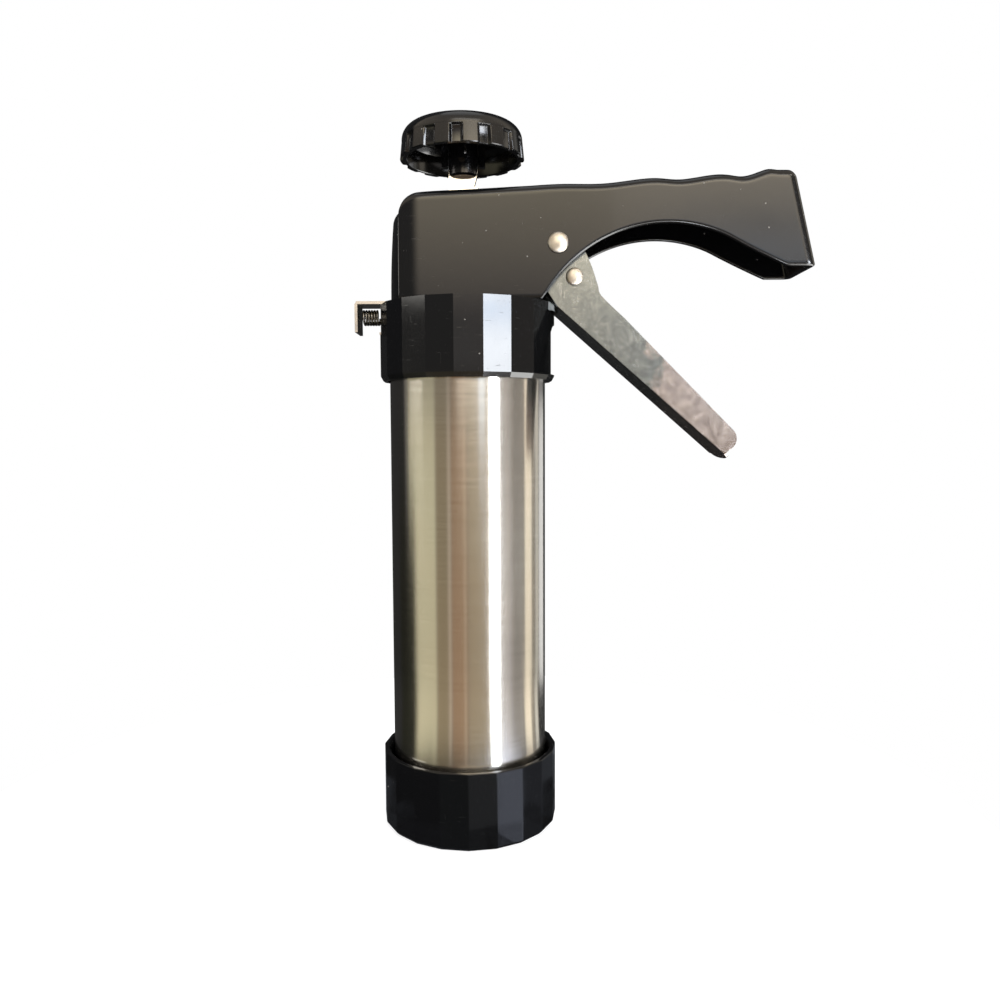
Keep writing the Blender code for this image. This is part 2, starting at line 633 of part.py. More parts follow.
def build_head(root):
    """The hollow housing and handle: rounded outside, open all along its underside."""
    outer = head_solid("head_outer", head_outline(), HEAD_END_RADIUS, HEAD_HALF, root)
    work = bmesh.new()
    work.from_mesh(outer)
    bmesh.ops.dissolve_limit(work, angle_limit=radians(1), verts=work.verts, edges=work.edges)
    rounded = []
    for edge in work.edges:
        middle = (edge.verts[0].co + edge.verts[1].co) / 2
        floor = HEAD_BASE_Z if middle.x < GRIP_ARC_X - GRIP_ARC_RADIUS else underside_z(middle.x)
        turned_by = edge.calc_face_angle(0)
        if turned_by > radians(25) and middle.z > floor + HEAD_FILLET:
            rounded.append(edge)
    bmesh.ops.bevel(work, geom=rounded, offset=HEAD_FILLET, segments=2, profile=0.5,
                    affect="EDGES", clamp_overlap=True)
    work.to_mesh(outer)
    work.free()
    taper(outer, HEAD_HALF)
    head = add_piece("head_housing", outer, BLACK, root)
    inner_top = top_line(HEAD_WALL, HEAD_WALL)
    low = HEAD_BASE_Z - OVERRUN
    end_x = HANDLE_REACH - HEAD_WALL
    inner_outline = [(-HEAD_END_RADIUS + HEAD_WALL, low)] + inner_top + [(end_x, low)]
    inner = head_solid("head_inner", inner_outline, HEAD_END_RADIUS - HEAD_WALL,
                       HEAD_HALF - HEAD_WALL, root)
    taper(inner, HEAD_HALF - HEAD_WALL)
    combine(head, add_piece("head_inner", inner, None, root), "DIFFERENCE")
    for side in (-1, 1):
        inner_y = HEAD_HALF - HEAD_WALL
        boss = cross_cylinder("pivot_boss_%d" % side, PIVOT_BOSS_RADIUS,
                              (PIVOT_BOSS_HEIGHT + CLEAR) / 2, 20, None, root, PIVOT_X, PIVOT_Z,
                              side * (inner_y - (PIVOT_BOSS_HEIGHT - CLEAR) / 2))
        combine(head, boss, "UNION")
    for k, (x, y) in enumerate(screw_places()):
        boss = cylinder("screw_boss_%d" % k, SCREW_BOSS_RADIUS, HEAD_BASE_Z,
                        HEAD_BASE_Z + SCREW_BOSS_HEIGHT, 16, None, root, x, y)
        combine(head, boss, "UNION")
    for k, (x, y) in enumerate(screw_places()):
        hole = cylinder("screw_pilot_%d" % k, SCREW_RADIUS + RUN, HEAD_BASE_Z - OVERRUN,
                        HEAD_BASE_Z + SCREW_LENGTH, 12, None, root, x, y)
        combine(head, hole, "DIFFERENCE")
    combine(head, cross_cylinder("head_pivot_hole", RIVET_RADIUS + RUN, HEAD_HALF + OVERRUN, 16, None,
                                 root, PIVOT_X, PIVOT_Z), "DIFFERENCE")
    combine(head, rod_slot("head_rod_slot", HEAD_TOP_Z - HEAD_HEIGHT / 2, HEAD_TOP_Z, root),
            "DIFFERENCE")
    slot = block("head_release_slot", (-RELEASE_REACH, -RELEASE_HALF - CLEAR, HEAD_BASE_Z - OVERRUN),
                 (-HEAD_END_RADIUS / 2, RELEASE_HALF + CLEAR, HEAD_BASE_Z + RELEASE_SHEET + CLEAR),
                 None, root)
    combine(head, slot, "DIFFERENCE")


def underside_z(x):
    """Height of the handle's underside at a place along it."""
    if x > GRIP_ARC_X + GRIP_ARC_RADIUS * sin(radians(GRIP_SLOPE_DEG)):
        return grip_line_z(min(x, HANDLE_REACH - TIP_WIDTH))
    across = min(abs(x - GRIP_ARC_X), GRIP_ARC_RADIUS)
    return max(HEAD_BASE_Z, HEAD_BASE_Z - GRIP_ARC_DROP + sqrt(GRIP_ARC_RADIUS ** 2 - across ** 2))


def build_head_screws(root):
    """Four pan head screws from inside the collar up into the head's bosses."""
    seat = COLLAR_TOP_Z - COLLAR_TOP_PLATE - CLEAR
    top = HEAD_BASE_Z + SCREW_LENGTH - CLEAR
    profile = [(0, top), (SCREW_RADIUS, top - SCREW_RADIUS), (SCREW_RADIUS, seat),
               (SCREW_HEAD_RADIUS, seat), (SCREW_HEAD_RADIUS, seat - SCREW_HEAD_HEIGHT / 2),
               (SCREW_HEAD_RADIUS - SCREW_HEAD_HEIGHT / 2, seat - SCREW_HEAD_HEIGHT),
               (0, seat - SCREW_HEAD_HEIGHT)]
    for k, (x, y) in enumerate(screw_places()):
        turned("head_screw_%d" % (k + 1), profile, 12, PLATED, root, (x, y, 0), closed=False)


def build_rod(plunger):
    """The flat rod, with a ratchet along the edge that faces the lever."""
    left = -ROD_WIDTH / 2
    right = ROD_WIDTH / 2
    line = [(left, ROD_FOOT_Z), (right, ROD_FOOT_Z)]
    for k in range(TOOTH_COUNT):
        z = FIRST_TOOTH_Z + k * TOOTH_PITCH
        line += [(right, z), (right - TOOTH_DEPTH, z)]
    last = FIRST_TOOTH_Z + TOOTH_COUNT * TOOTH_PITCH
    line += [(right, last), (right, ROD_TOP_Z), (left, ROD_TOP_Z)]
    pins = [ring_points(ROD_PIN_RADIUS + RUN, 12, 0, z) for z in (foot_pin_z(), knob_pin_z())]
    upright_plate("ratchet_rod", [line] + pins, ROD_THICKNESS / 2, PLATED, plunger)


def foot_pin_z():
    """Height of the cross pin through the piston's hub."""
    return ROD_FOOT_Z + HUB_NECK_HEIGHT / 2


def knob_pin_z():
    """Height of the cross pin through the knob's hub."""
    return KNOB_HUB_Z + KNOB_HUB_RADIUS


def build_knob(plunger):
    """The round knob: hollow below, notched round its side, with a hub for the rod."""
    top = KNOB_RIM_Z + KNOB_HEIGHT
    shoulder = KNOB_RADIUS - KNOB_TAPER
    flat = top - KNOB_DOME - KNOB_FILLET
    outer = [(0, top)]
    inner_r = shoulder - KNOB_FILLET
    for share in np.linspace(0, 1, 4)[1:]:
        outer.append((inner_r * share, top - KNOB_DOME * share ** 2))
    for a in np.linspace(pi / 2, 0, 5)[1:]:
        outer.append((inner_r + KNOB_FILLET * cos(a), flat + KNOB_FILLET * sin(a)))
    outer += [(KNOB_RADIUS, KNOB_RIM_Z), (KNOB_RADIUS - KNOB_WALL, KNOB_RIM_Z)]
    ceiling = top - KNOB_DOME - KNOB_WALL
    cavity = [(shoulder - KNOB_WALL, flat), (inner_r, ceiling), (KNOB_HUB_RADIUS, ceiling)]
    hub = [(KNOB_HUB_RADIUS, KNOB_HUB_Z), (0, KNOB_HUB_Z)]
    knob = turned("plunger_knob", outer + cavity + hub, KNOB_STEPS, BLACK, plunger, (KNOB_LEAN, 0, 0),
                  closed=False)
    work = bmesh.new()
    for k in range(KNOB_NOTCHES):
        angle = -pi / 2 + radians(KNOB_TURN_DEG) + 2 * pi * k / KNOB_NOTCHES
        made = bmesh.ops.create_cube(work, size=1)["verts"]
        size = (2 * KNOB_NOTCH_DEPTH, KNOB_NOTCH_WIDTH, KNOB_NOTCH_HEIGHT + OVERRUN)
        bmesh.ops.scale(work, vec=size, verts=made)
        middle = KNOB_RIM_Z + (KNOB_NOTCH_HEIGHT - OVERRUN) / 2
        bmesh.ops.translate(work, vec=(KNOB_RADIUS, 0, middle), verts=made)
        for vert in made:
            x, y = vert.co.x, vert.co.y
            vert.co.x = x * cos(angle) - y * sin(angle)
            vert.co.y = x * sin(angle) + y * cos(angle)
    mesh = bpy.data.meshes.new("knob_notches")
    work.to_mesh(mesh)
    work.free()
    combine(knob, add_piece("knob_notches", mesh, None, plunger, (KNOB_LEAN, 0, 0)), "DIFFERENCE")
    room = block("knob_rod_slot",
                 (-ROD_WIDTH / 2 - CLEAR, -ROD_THICKNESS / 2 - CLEAR, KNOB_HUB_Z - OVERRUN),
                 (ROD_WIDTH / 2 + CLEAR, ROD_THICKNESS / 2 + CLEAR, ROD_TOP_Z + CLEAR), None, plunger)
    combine(knob, room, "DIFFERENCE")
    hole = cross_cylinder("knob_pin_hole", ROD_PIN_RADIUS + RUN, KNOB_HUB_RADIUS + OVERRUN, 12, None,
                          plunger, 0, knob_pin_z())
    combine(knob, hole, "DIFFERENCE")
    cross_cylinder("knob_pin", ROD_PIN_RADIUS, KNOB_HUB_RADIUS - CLEAR, 12, PLATED, plunger, 0,
                   knob_pin_z())


def build_piston(plunger):
    """The piston: plate, seal and backing clamped to a hub, which a pin holds on the rod."""
    plate_radius = SEAL_RADIUS - PISTON_PLATE_INSET
    pocket = PISTON_SCREW_HEAD_HEIGHT + CLEAR
    plate_top = PISTON_Z + PISTON_PLATE_THICKNESS
    hole = PISTON_SCREW_RADIUS + RUN
    head_room = PISTON_SCREW_HEAD + CLEAR
    plate = [(plate_radius, plate_top), (plate_radius, PISTON_Z + CLEAR), (plate_radius - CLEAR, PISTON_Z),
             (head_room, PISTON_Z), (head_room, PISTON_Z + pocket), (hole, PISTON_Z + pocket),
             (hole, plate_top)]
    turned("piston_plate", plate, 40, SILICONE, plunger)
    seal_top = SEAL_Z + SEAL_HEIGHT
    waist = SEAL_RADIUS - SEAL_LIP
    bore = HUB_FLANGE_RADIUS + CLEAR
    seal = [(bore, seal_top), (SEAL_RADIUS, seal_top), (SEAL_RADIUS, seal_top - SEAL_LIP),
            (waist, seal_top - 2 * SEAL_LIP), (waist, SEAL_Z + 2 * SEAL_LIP),
            (SEAL_RADIUS, SEAL_Z + SEAL_LIP), (SEAL_RADIUS, SEAL_Z), (bore, SEAL_Z)]
    turned("piston_seal", seal, 40, SILICONE, plunger)
    backing_z = seal_top + CLEAR
    backing_top = backing_z + BACKING_SHEET
    backing = [(HUB_NECK_RADIUS + CLEAR, backing_top), (SEAL_RADIUS - BACKING_INSET, backing_top),
               (SEAL_RADIUS - BACKING_INSET, backing_z), (HUB_NECK_RADIUS + CLEAR, backing_z)]
    turned("piston_backing", backing, 40, STEEL, plunger)
    hub_z = SEAL_Z
    flange_top = seal_top
    neck_top = ROD_FOOT_Z + HUB_NECK_HEIGHT
    tapped = PISTON_Z + pocket + PISTON_SCREW_LENGTH
    hub = [(0, neck_top), (HUB_NECK_RADIUS, neck_top), (HUB_NECK_RADIUS, flange_top),
           (HUB_FLANGE_RADIUS, flange_top), (HUB_FLANGE_RADIUS, hub_z), (hole, hub_z), (hole, tapped),
           (0, tapped)]
    piston_hub = turned("piston_hub", hub, 28, PLATED, plunger, closed=False)
    room = block("hub_slot", (-ROD_WIDTH / 2 - CLEAR, -ROD_THICKNESS / 2 - CLEAR, ROD_FOOT_Z - CLEAR),
                 (ROD_WIDTH / 2 + CLEAR, ROD_THICKNESS / 2 + CLEAR, neck_top + OVERRUN), None, plunger)
    combine(piston_hub, room, "DIFFERENCE")
    cross = cross_cylinder("hub_pin_hole", ROD_PIN_RADIUS + RUN, HUB_NECK_RADIUS + OVERRUN, 12, None,
                           plunger, 0, foot_pin_z())
    combine(piston_hub, cross, "DIFFERENCE")
    cross_cylinder("piston_pin", ROD_PIN_RADIUS, HUB_NECK_RADIUS - CLEAR, 12, PLATED, plunger, 0,
                   foot_pin_z())
    head_z = PISTON_Z + pocket - CLEAR - PISTON_SCREW_HEAD_HEIGHT
    screw = [(0, tapped - CLEAR), (PISTON_SCREW_RADIUS, tapped - CLEAR),
             (PISTON_SCREW_RADIUS, head_z + PISTON_SCREW_HEAD_HEIGHT),
             (PISTON_SCREW_HEAD, head_z + PISTON_SCREW_HEAD_HEIGHT), (PISTON_SCREW_HEAD, head_z),
             (0, head_z)]
    turned("piston_screw", screw, 16, PLATED, plunger, closed=False)


def lever_place(along, across):
    """A place on the lever, from its pivot: along its length, and across towards the handle."""
    angle = radians(LEVER_ANGLE_DEG)
    return (along * cos(angle) - across * sin(angle), along * sin(angle) + across * cos(angle))


def lever_lower(along):
    """How far the lever's web lies below the line through its pivot."""
    share = (along - LEVER_ROOT) / (LEVER_REACH - LEVER_ROOT)
    return -(LEVER_ROOT_DEPTH + share * (LEVER_TIP_DEPTH - LEVER_ROOT_DEPTH))


def build_lever(lever):
    """The trigger: a channel with its web on the finger side and two ears on the pivot."""
    tip_centre = LEVER_REACH - LEVER_TIP_RADIUS
    tip_top = LEVER_TIP_RISE
    line = [lever_place(LEVER_ROOT, lever_lower(LEVER_ROOT)),
            lever_place(LEVER_REACH, lever_lower(LEVER_REACH))]
    for a in np.linspace(-pi / 9, pi / 2, 6):
        line.append(lever_place(tip_centre + LEVER_TIP_RADIUS * cos(a),
                                tip_top - LEVER_TIP_RADIUS * (1 - sin(a))))
    line.append(lever_place(LEVER_STRAIGHT, 0))
    line += [lever_place(LEVER_NECK * along, LEVER_HEAD_RISE * across)
             for along, across in LEVER_HEAD_SHARES]
    line += ring_points(LEVER_EAR_RADIUS, 8, 0, 0, radians(20), radians(180))
    heel = LEVER_ROOT * LEVER_HEEL_SHARE
    line.append(lever_place(heel, lever_lower(LEVER_ROOT) + (LEVER_ROOT - heel) / 6))
    holes = [ring_points(RIVET_RADIUS + RUN, 16),
             ring_points(LINK_RIVET_RADIUS + RUN, 16, *lever_place(LINK_ALONG, -LINK_DROP))]
    channel = upright_plate("trigger_lever", [line] + holes, LEVER_HALF, STEEL, lever)
    web_start = LEVER_ROOT + LEVER_CLEAR_COLLAR
    far = LEVER_REACH + LEVER_TIP_RADIUS
    high = LEVER_REACH
    room = [lever_place(-LEVER_REACH / 2, -LEVER_REACH / 2), lever_place(web_start, -LEVER_REACH / 2),
            lever_place(web_start, lever_lower(web_start) + LEVER_SHEET),
            lever_place(far, lever_lower(far) + LEVER_SHEET), lever_place(far, high),
            lever_place(-LEVER_REACH / 2, high)]
    hollow = upright_plate("lever_hollow", [room], LEVER_HALF - LEVER_SHEET, None, lever)
    combine(channel, hollow, "DIFFERENCE")


def build_rivets(root, lever):
    """The pivot rivet through the head, the link rivet through the lever, and their spacers."""
    rivet = rivet_profile(RIVET_RADIUS, HEAD_HALF + CLEAR, RIVET_HEAD_RADIUS, RIVET_HEAD_HEIGHT)
    turned("pivot_rivet", rivet, 24, PLATED, root, (PIVOT_X, 0, PIVOT_Z), (pi / 2, 0, 0), closed=False)
    link = rivet_profile(LINK_RIVET_RADIUS, LEVER_HALF + CLEAR, LINK_RIVET_HEAD_RADIUS,
                         LINK_RIVET_HEAD_HEIGHT)
    x, z = lever_place(LINK_ALONG, -LINK_DROP)
    turned("lever_rivet", link, 24, PLATED, lever, (x, 0, z), (pi / 2, 0, 0), closed=False)
    near = ARM_THICKNESS / 2 + CLEAR
    far = LEVER_HALF - LEVER_SHEET - CLEAR
    for name, shaft, place in (("pivot", RIVET_RADIUS, (0, 0)), ("link", LINK_RIVET_RADIUS, (x, z))):
        for side, word in ((-1, "front"), (1, "back")):
            half = (far - near) / 2
            tube = [(shaft + RUN, half), (shaft + RUN + SPACER_WALL, half),
                    (shaft + RUN + SPACER_WALL, -half), (shaft + RUN, -half)]
            turned(name + "_spacer_" + word, tube, 16, PLATED, lever,
                   (place[0], side * (near + far) / 2, place[1]), (pi / 2, 0, 0))


def nose_place():
    """The pawl's pin, from the lever's pivot."""
    angle = pi - radians(ARM_RISE_DEG)
    return ARM_LENGTH * cos(angle), ARM_LENGTH * sin(angle)


def build_arm(lever):
    """The drive arm between the ears, with the pin that carries the pawl and the leaf over it."""
    nose_x, nose_z = nose_place()
    link_x, link_z = lever_place(LINK_ALONG, -LINK_DROP)
    around = (ring_points(ARM_ROOT_RADIUS, 20) + ring_points(ARM_NOSE_RADIUS, 16, nose_x, nose_z)
              + ring_points(LINK_RIVET_RADIUS + SPACER_WALL + RUN, 16, link_x, link_z))
    holes = [ring_points(RIVET_RADIUS + RUN, 16), ring_points(PAWL_PIN_RADIUS + RUN, 12, nose_x, nose_z),
             ring_points(LINK_RIVET_RADIUS + RUN, 16, link_x, link_z)]
    upright_plate("drive_arm", [hull(around)] + holes, ARM_THICKNESS / 2, STEEL, lever)
    half = ARM_THICKNESS / 2 + CLEAR + PAWL_EAR_THICKNESS + CLEAR
    pin = rivet_profile(PAWL_PIN_RADIUS, half, PAWL_PIN_RADIUS + PAWL_PIN_HEAD, PAWL_PIN_HEAD)
    turned("pawl_pin", pin, 12, PLATED, lever, (nose_x, 0, nose_z), (pi / 2, 0, 0), closed=False)
    inner = ARM_NOSE_RADIUS + CLEAR
    outer = inner + LEAF_SHEET
    top = pi / 2 + asin_share(ARM_ROOT_RADIUS - ARM_NOSE_RADIUS, ARM_LENGTH) - radians(ARM_RISE_DEG)
    bend = ring_points(1, 6, 0, 0, top, radians(70))
    straight = ARM_LENGTH * 0.45
    run_x, run_z = straight * sin(top), -straight * cos(top)
    low = [(nose_x + inner * c, nose_z + inner * s) for c, s in bend]
    high = [(nose_x + outer * c, nose_z + outer * s) for c, s in bend[::-1]]
    strip = ([(low[0][0] + run_x, low[0][1] + run_z)] + low + high
             + [(high[-1][0] + run_x, high[-1][1] + run_z)])
    upright_plate("pawl_spring", [strip], ARM_THICKNESS / 2, SPRING_STEEL, lever)


def build_pawl(pawl):
    """The pawl: two ears round the arm's nose and a tip that reaches the rod's teeth."""
    reach = PIVOT_X - ARM_LENGTH - (ROD_EDGE_X + CLEAR) - PAWL_TIP_RADIUS
    around = ring_points(PAWL_EAR_RADIUS, 16)
    around += ring_points(PAWL_TIP_RADIUS, 8, -reach, -PAWL_TIP_DROP)
    hole = ring_points(PAWL_PIN_RADIUS + RUN, 12)
    half = ARM_THICKNESS / 2 + CLEAR + PAWL_EAR_THICKNESS
    body = upright_plate("drive_pawl", [hull(around), hole], half, PLATED, pawl)
    room = cross_cylinder("pawl_room", ARM_NOSE_RADIUS + LEAF_SHEET + 2 * CLEAR,
                          ARM_THICKNESS / 2 + CLEAR, 24, None, pawl, 0, 0)
    combine(body, room, "DIFFERENCE")


def build_lever_spring(root):
    """The torsion spring round the front pivot spacer, one leg under the handle's top."""
    radius = RIVET_RADIUS + RUN + SPACER_WALL + CLEAR + LEVER_SPRING_WIRE / 2
    lean = radians(LEVER_SPRING_ANGLE_DEG)
    link_x, link_z = lever_place(LINK_ALONG, -LINK_DROP)
    down = atan2(link_z, link_x)
    start = lean + pi / 2
    end = down + pi / 2 - 2 * pi * LEVER_SPRING_TURNS
    count = int(abs(end - start) / (2 * pi) * COIL_POINTS)
    middle = (ARM_THICKNESS / 2 + LEVER_HALF) / 2
    depth = LEVER_SPRING_PITCH * (start - end) / (2 * pi)
    coil = []
    for k in range(count + 1):
        angle = start + (end - start) * k / count
        y = -middle + depth * (k / count - 0.5)
        coil.append((radius * cos(angle), y, radius * sin(angle)))
    first = (coil[0][0] + LEVER_SPRING_LEG_LONG * cos(lean), coil[0][1],
             coil[0][2] + LEVER_SPRING_LEG_LONG * sin(lean))
    last = (coil[-1][0] + LEVER_SPRING_LEG_SHORT * cos(down), coil[-1][1],
            coil[-1][2] + LEVER_SPRING_LEG_SHORT * sin(down))
    points = [first] + coil + [last]
    wire("lever_spring", points, LEVER_SPRING_WIRE / 2, root, (PIVOT_X, 0, PIVOT_Z))
    gap = least_gap(coil, LEVER_SPRING_WIRE / 2, COIL_POINTS // 2)
    print("lever_spring: least gap to itself %.2f mm" % (1000 * gap))


def build_release(release, root):
    """The release plate with its window round the rod, its spring and the spring's seat."""
    bottom = HEAD_BASE_Z
    top = bottom + RELEASE_SHEET
    left = -RELEASE_REACH
    window_right = ROD_EDGE_X + CLEAR
    window_left = ROD_OFFSET - ROD_WIDTH / 2 - CLEAR - RELEASE_TRAVEL
    right = window_right + RELEASE_BAR
    tab_z = top - RELEASE_TAB_DROP
    flat = [(left + RELEASE_SHEET / 2, -RELEASE_HALF), (right, -RELEASE_HALF), (right, RELEASE_HALF),
            (left + RELEASE_SHEET / 2, RELEASE_HALF)]
    slot = ROD_THICKNESS / 2 + CLEAR
    window = [(window_left, -slot), (window_right, -slot), (window_right, slot), (window_left, slot)]
    plate = add_piece("release_plate", outline_mesh([flat, window], RELEASE_SHEET / 2), PLATED, release,
                      (0, 0, (bottom + top) / 2))
    tab = [(left, tab_z), (left + RELEASE_SHEET, tab_z), (left + RELEASE_SHEET, top - RELEASE_SHEET / 3),
           (left + RELEASE_SHEET * 2 / 3, top - CLEAR / 3), (left, bottom)]
    combine(plate, upright_plate("release_tab", [tab], RELEASE_HALF, None, release), "UNION")
    wall_x = -COLLAR_RADIUS + NOTCH_DEPTH
    seat_z = COLLAR_TOP_Z - NOTCH_HEIGHT + CLEAR
    seat_x = wall_x - CLEAR - SEAT_SHEET
    seat = [(wall_x - CLEAR, seat_z), (wall_x - CLEAR, seat_z + SEAT_HEIGHT), (seat_x, seat_z + SEAT_HEIGHT),
            (seat_x, seat_z + SEAT_SHEET), (wall_x - CLEAR - SEAT_FOOT, seat_z + SEAT_SHEET),
            (wall_x - CLEAR - SEAT_FOOT, seat_z)]
    upright_plate("spring_seat", [seat], SEAT_HALF, PLATED, root)
    start = left + RELEASE_SHEET + CLEAR
    end = seat_x - CLEAR
    axis_z = bottom - RELEASE_SHEET - RELEASE_SPRING_RADIUS - RELEASE_SPRING_WIRE
    stub = RELEASE_SPRING_WIRE
    count = int(RELEASE_SPRING_TURNS * COIL_POINTS)
    coil = []
    for k in range(count + 1):
        angle = 2 * pi * RELEASE_SPRING_TURNS * k / count
        x = start + stub + (end - start - 2 * stub) * k / count
        coil.append((x, RELEASE_SPRING_RADIUS * cos(angle), axis_z + RELEASE_SPRING_RADIUS * sin(angle)))
    points = [(start, coil[0][1], coil[0][2])] + coil + [(end, coil[-1][1], coil[-1][2])]
    wire("release_spring", points, RELEASE_SPRING_WIRE / 2, root)
    gap = least_gap(coil, RELEASE_SPRING_WIRE / 2, COIL_POINTS // 2)
    print("release_spring: least gap to itself %.2f mm" % (1000 * gap))


def build_press():
    """Every piece, each on the empty of the body it moves with."""
    clear_scene()
    root = empty_at("press_axis", -SHIFT, 0)
    plunger = empty_at("plunger_axis", ROD_OFFSET, 0, root)
    lever = empty_at("lever_pivot", PIVOT_X, PIVOT_Z, root)
    nose_x, nose_z = nose_place()
    pawl = empty_at("pawl_pivot", nose_x, nose_z, lever)
    release = empty_at("release_slide", 0, 0, root)
    disc = empty_at("disc_slide", 0, 0, root)
    cap = empty_at("cap_turn", 0, 0, disc)
    build_barrel(root)
    build_cap(cap)
    build_disc(disc)
    build_collar(root)
    build_head(root)
    build_head_screws(root)
    build_rod(plunger)
    build_knob(plunger)
    build_piston(plunger)
    build_lever(lever)
    build_rivets(root, lever)
    build_arm(lever)
    build_pawl(pawl)
    build_lever_spring(root)
    build_release(release, root)


build_press()
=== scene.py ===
"""The looks of a hand cookie press.

Sizes are in millimetres from the barrel's axis and the cap's foot, as the press stands: x towards the
handle's tip, y away from the camera, z up. settle() moves them to the frame's place, in metres.
"""

from math import atan2, cos, pi, radians, sin, sqrt, tan

import bmesh
import bpy
import numpy as np
from mathutils import Matrix, Vector


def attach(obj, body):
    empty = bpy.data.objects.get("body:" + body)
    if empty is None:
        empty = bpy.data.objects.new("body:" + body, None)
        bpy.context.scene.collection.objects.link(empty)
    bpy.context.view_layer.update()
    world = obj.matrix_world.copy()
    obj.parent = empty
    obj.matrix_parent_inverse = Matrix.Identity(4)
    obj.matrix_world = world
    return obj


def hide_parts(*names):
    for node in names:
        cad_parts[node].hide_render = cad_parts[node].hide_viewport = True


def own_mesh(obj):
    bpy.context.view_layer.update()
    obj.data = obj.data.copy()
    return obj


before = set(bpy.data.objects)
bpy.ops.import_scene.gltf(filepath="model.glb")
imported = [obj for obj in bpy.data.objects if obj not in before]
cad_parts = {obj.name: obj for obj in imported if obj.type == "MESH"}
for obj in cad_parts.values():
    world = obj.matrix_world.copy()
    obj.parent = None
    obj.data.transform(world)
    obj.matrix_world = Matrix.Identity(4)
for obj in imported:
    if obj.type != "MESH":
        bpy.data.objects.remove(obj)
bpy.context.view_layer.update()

# Where the barrel's axis stands in the frame
AXIS_X = -36.3
MM = 0.001
CLEAR = 0.3

# Barrel
BARREL_RADIUS = 25.0
BARREL_SHEET = 0.6
BARREL_FOOT = 4.6
BARREL_TOP = 158.0
BEAD_INSET = 6.5
BEAD_RISE = 0.45
BEAD_HALF = 1.1

# Collar and cap, both with 20 flats
FLATS = 20
SOCKET_RADIUS = 25.75
COLLAR_RADIUS = 28.0
COLLAR_FOOT = 144.1
COLLAR_TOP = 168.1
COLLAR_SHOULDER = 158.3
COLLAR_SHOULDER_RADIUS = 23.75
COLLAR_PLATE = 2.4
COLLAR_CHAMFER = 1.5
COLLAR_CHAMFER_IN = 0.8
COLLAR_TURN = radians(11.6)
NOTCH_DEPTH = 2.0
NOTCH_HALF = 6.5
NOTCH_HEIGHT = 9.4
ARCH_HALF = 16.1
ARCH_HEIGHT = 16.0
ARCH_FOOT = 1.9
ARCH_RADIUS = 26.9
CAP_RADIUS = 28.44
CAP_HEIGHT = 24.5
CAP_FLOOR = 3.0
CAP_MOUTH = 20.0
CAP_CHAMFER = 1.2
CAP_LIP = 1.0
CAP_LIP_DEPTH = 1.5
CAP_TURN = radians(0.6)

# Head and handle
HEAD_BASE = 168.4
HEAD_HEIGHT = 38.4
HEAD_HALF = 14.0
HEAD_WALL = 2.0
HEAD_END_RADIUS = 24.3
HEAD_END_DRAFT = 2.6
END_START = -20.4
HANDLE_REACH = 108.1
TIP_WIDTH = 9.2
TIP_LEAN = 6.7
TIP_HALF = 13.0
TAPER_START = 45.0
ARC_X = 62.3
ARC_DROP = 20.8
ARC_RADIUS = 43.8
GRIP_SLOPE = radians(26)
TOP_LINE = [(-0.159, 0.846), (-0.099, 0.862), (0.043, 0.880), (0.164, 0.898), (0.268, 0.909),
            (0.392, 0.904), (0.522, 0.938), (0.611, 0.927), (0.716, 0.966), (0.802, 0.951),
            (0.870, 0.985), (0.904, 1.000), (0.938, 0.990)]
PIVOT = (28.4, 185.4)
HEAD_TOP = HEAD_BASE + HEAD_HEIGHT
HEAD_ROUND = 2.6
BEND_START = -13.6
BEND_RADIUS = 22.0
HEAD_CORNER = 0.7
FACE_CORNER = 5.6
CORNER_DROP = 5.2
TIP_CORNER = 2.6
FOOT_ROUND = 0.8
INNER_FOOT_ROUND = 0.5
BOSS_RADIUS = 5.0
BOSS_LENGTH = 1.6
BOSS_BACK = -12.3
BOSS_FRONT = 10.7
TOP_SPAN = (-17.2, 101.4)
TOP_RAISE = ((20, 60, 92, 101), (0.0, 0.8, 0.8, 1.3))

# Knob, rod and release plate
KNOB_X = -1.3
KNOB_RADIUS = 19.75
KNOB_RIM = 213.88
KNOB_TOP = 226.28
KNOB_WALL = 2.4
KNOB_TAPER = 0.6
KNOB_FILLET = 4.5
KNOB_DOME = 2.2
KNOB_NOTCH_EDGE = 0.024
KNOB_BOSS = 4.7
KNOB_HUB_FOOT = 208.58
NOTCHES = 14
KNOB_NOTCH_HALF = 1.8
KNOB_NOTCH_DEPTH = 1.0
KNOB_NOTCH_HEIGHT = 5.6
KNOB_TURN = radians(-93)
ROD_X = -0.9
ROD_HALF_WIDTH = 4.7
ROD_HALF_SHEET = 1.5
ROD_TOP = 223.58
RELEASE_SHEET = 0.9
RELEASE_HALF = 5.5
SPRING_WIRE = 0.75
SPRING_RADIUS = 2.2
SPRING_TURNS = 6
SPRING_START = -34.3
SPRING_END = -27.6
SPRING_Z = 164.7

# Trigger lever, from its pivot; its steel turns lighter and pinkish from the x given next on
WORN_START = 58.0
LEVER_ANGLE = radians(-47)
LEVER_HALF = 10.4
LEVER_SHEET = 0.9
LEVER_REACH = 83.5
LEVER_ROOT = 13.5
LEVER_ROOT_DEPTH = 12.7
LEVER_TIP_DEPTH = 5.6
LEVER_TIP_RISE = 1.4
LEVER_TIP_RADIUS = 3.8
LIP_LENGTH = 2.5
LIP_HALF = 9.0
EAR_RADIUS = 7.0
HEAD_RISE = 4.6
NECK = 20.8
STRAIGHT = 30.5
HEAD_SHARES = [(1.0, -0.12), (0.84, 0.18), (0.60, 0.68), (0.40, 1.0)]
HEEL_SHARE = 0.62
LINK_ALONG = 10.6
LINK_ACROSS = -2.7
PIVOT_BORE = 2.25
LINK_BORE = 1.9
PIVOT_SHAFT = 2.0
LINK_SHAFT = 1.6
PIVOT_HEAD = (3.15, 1.6)
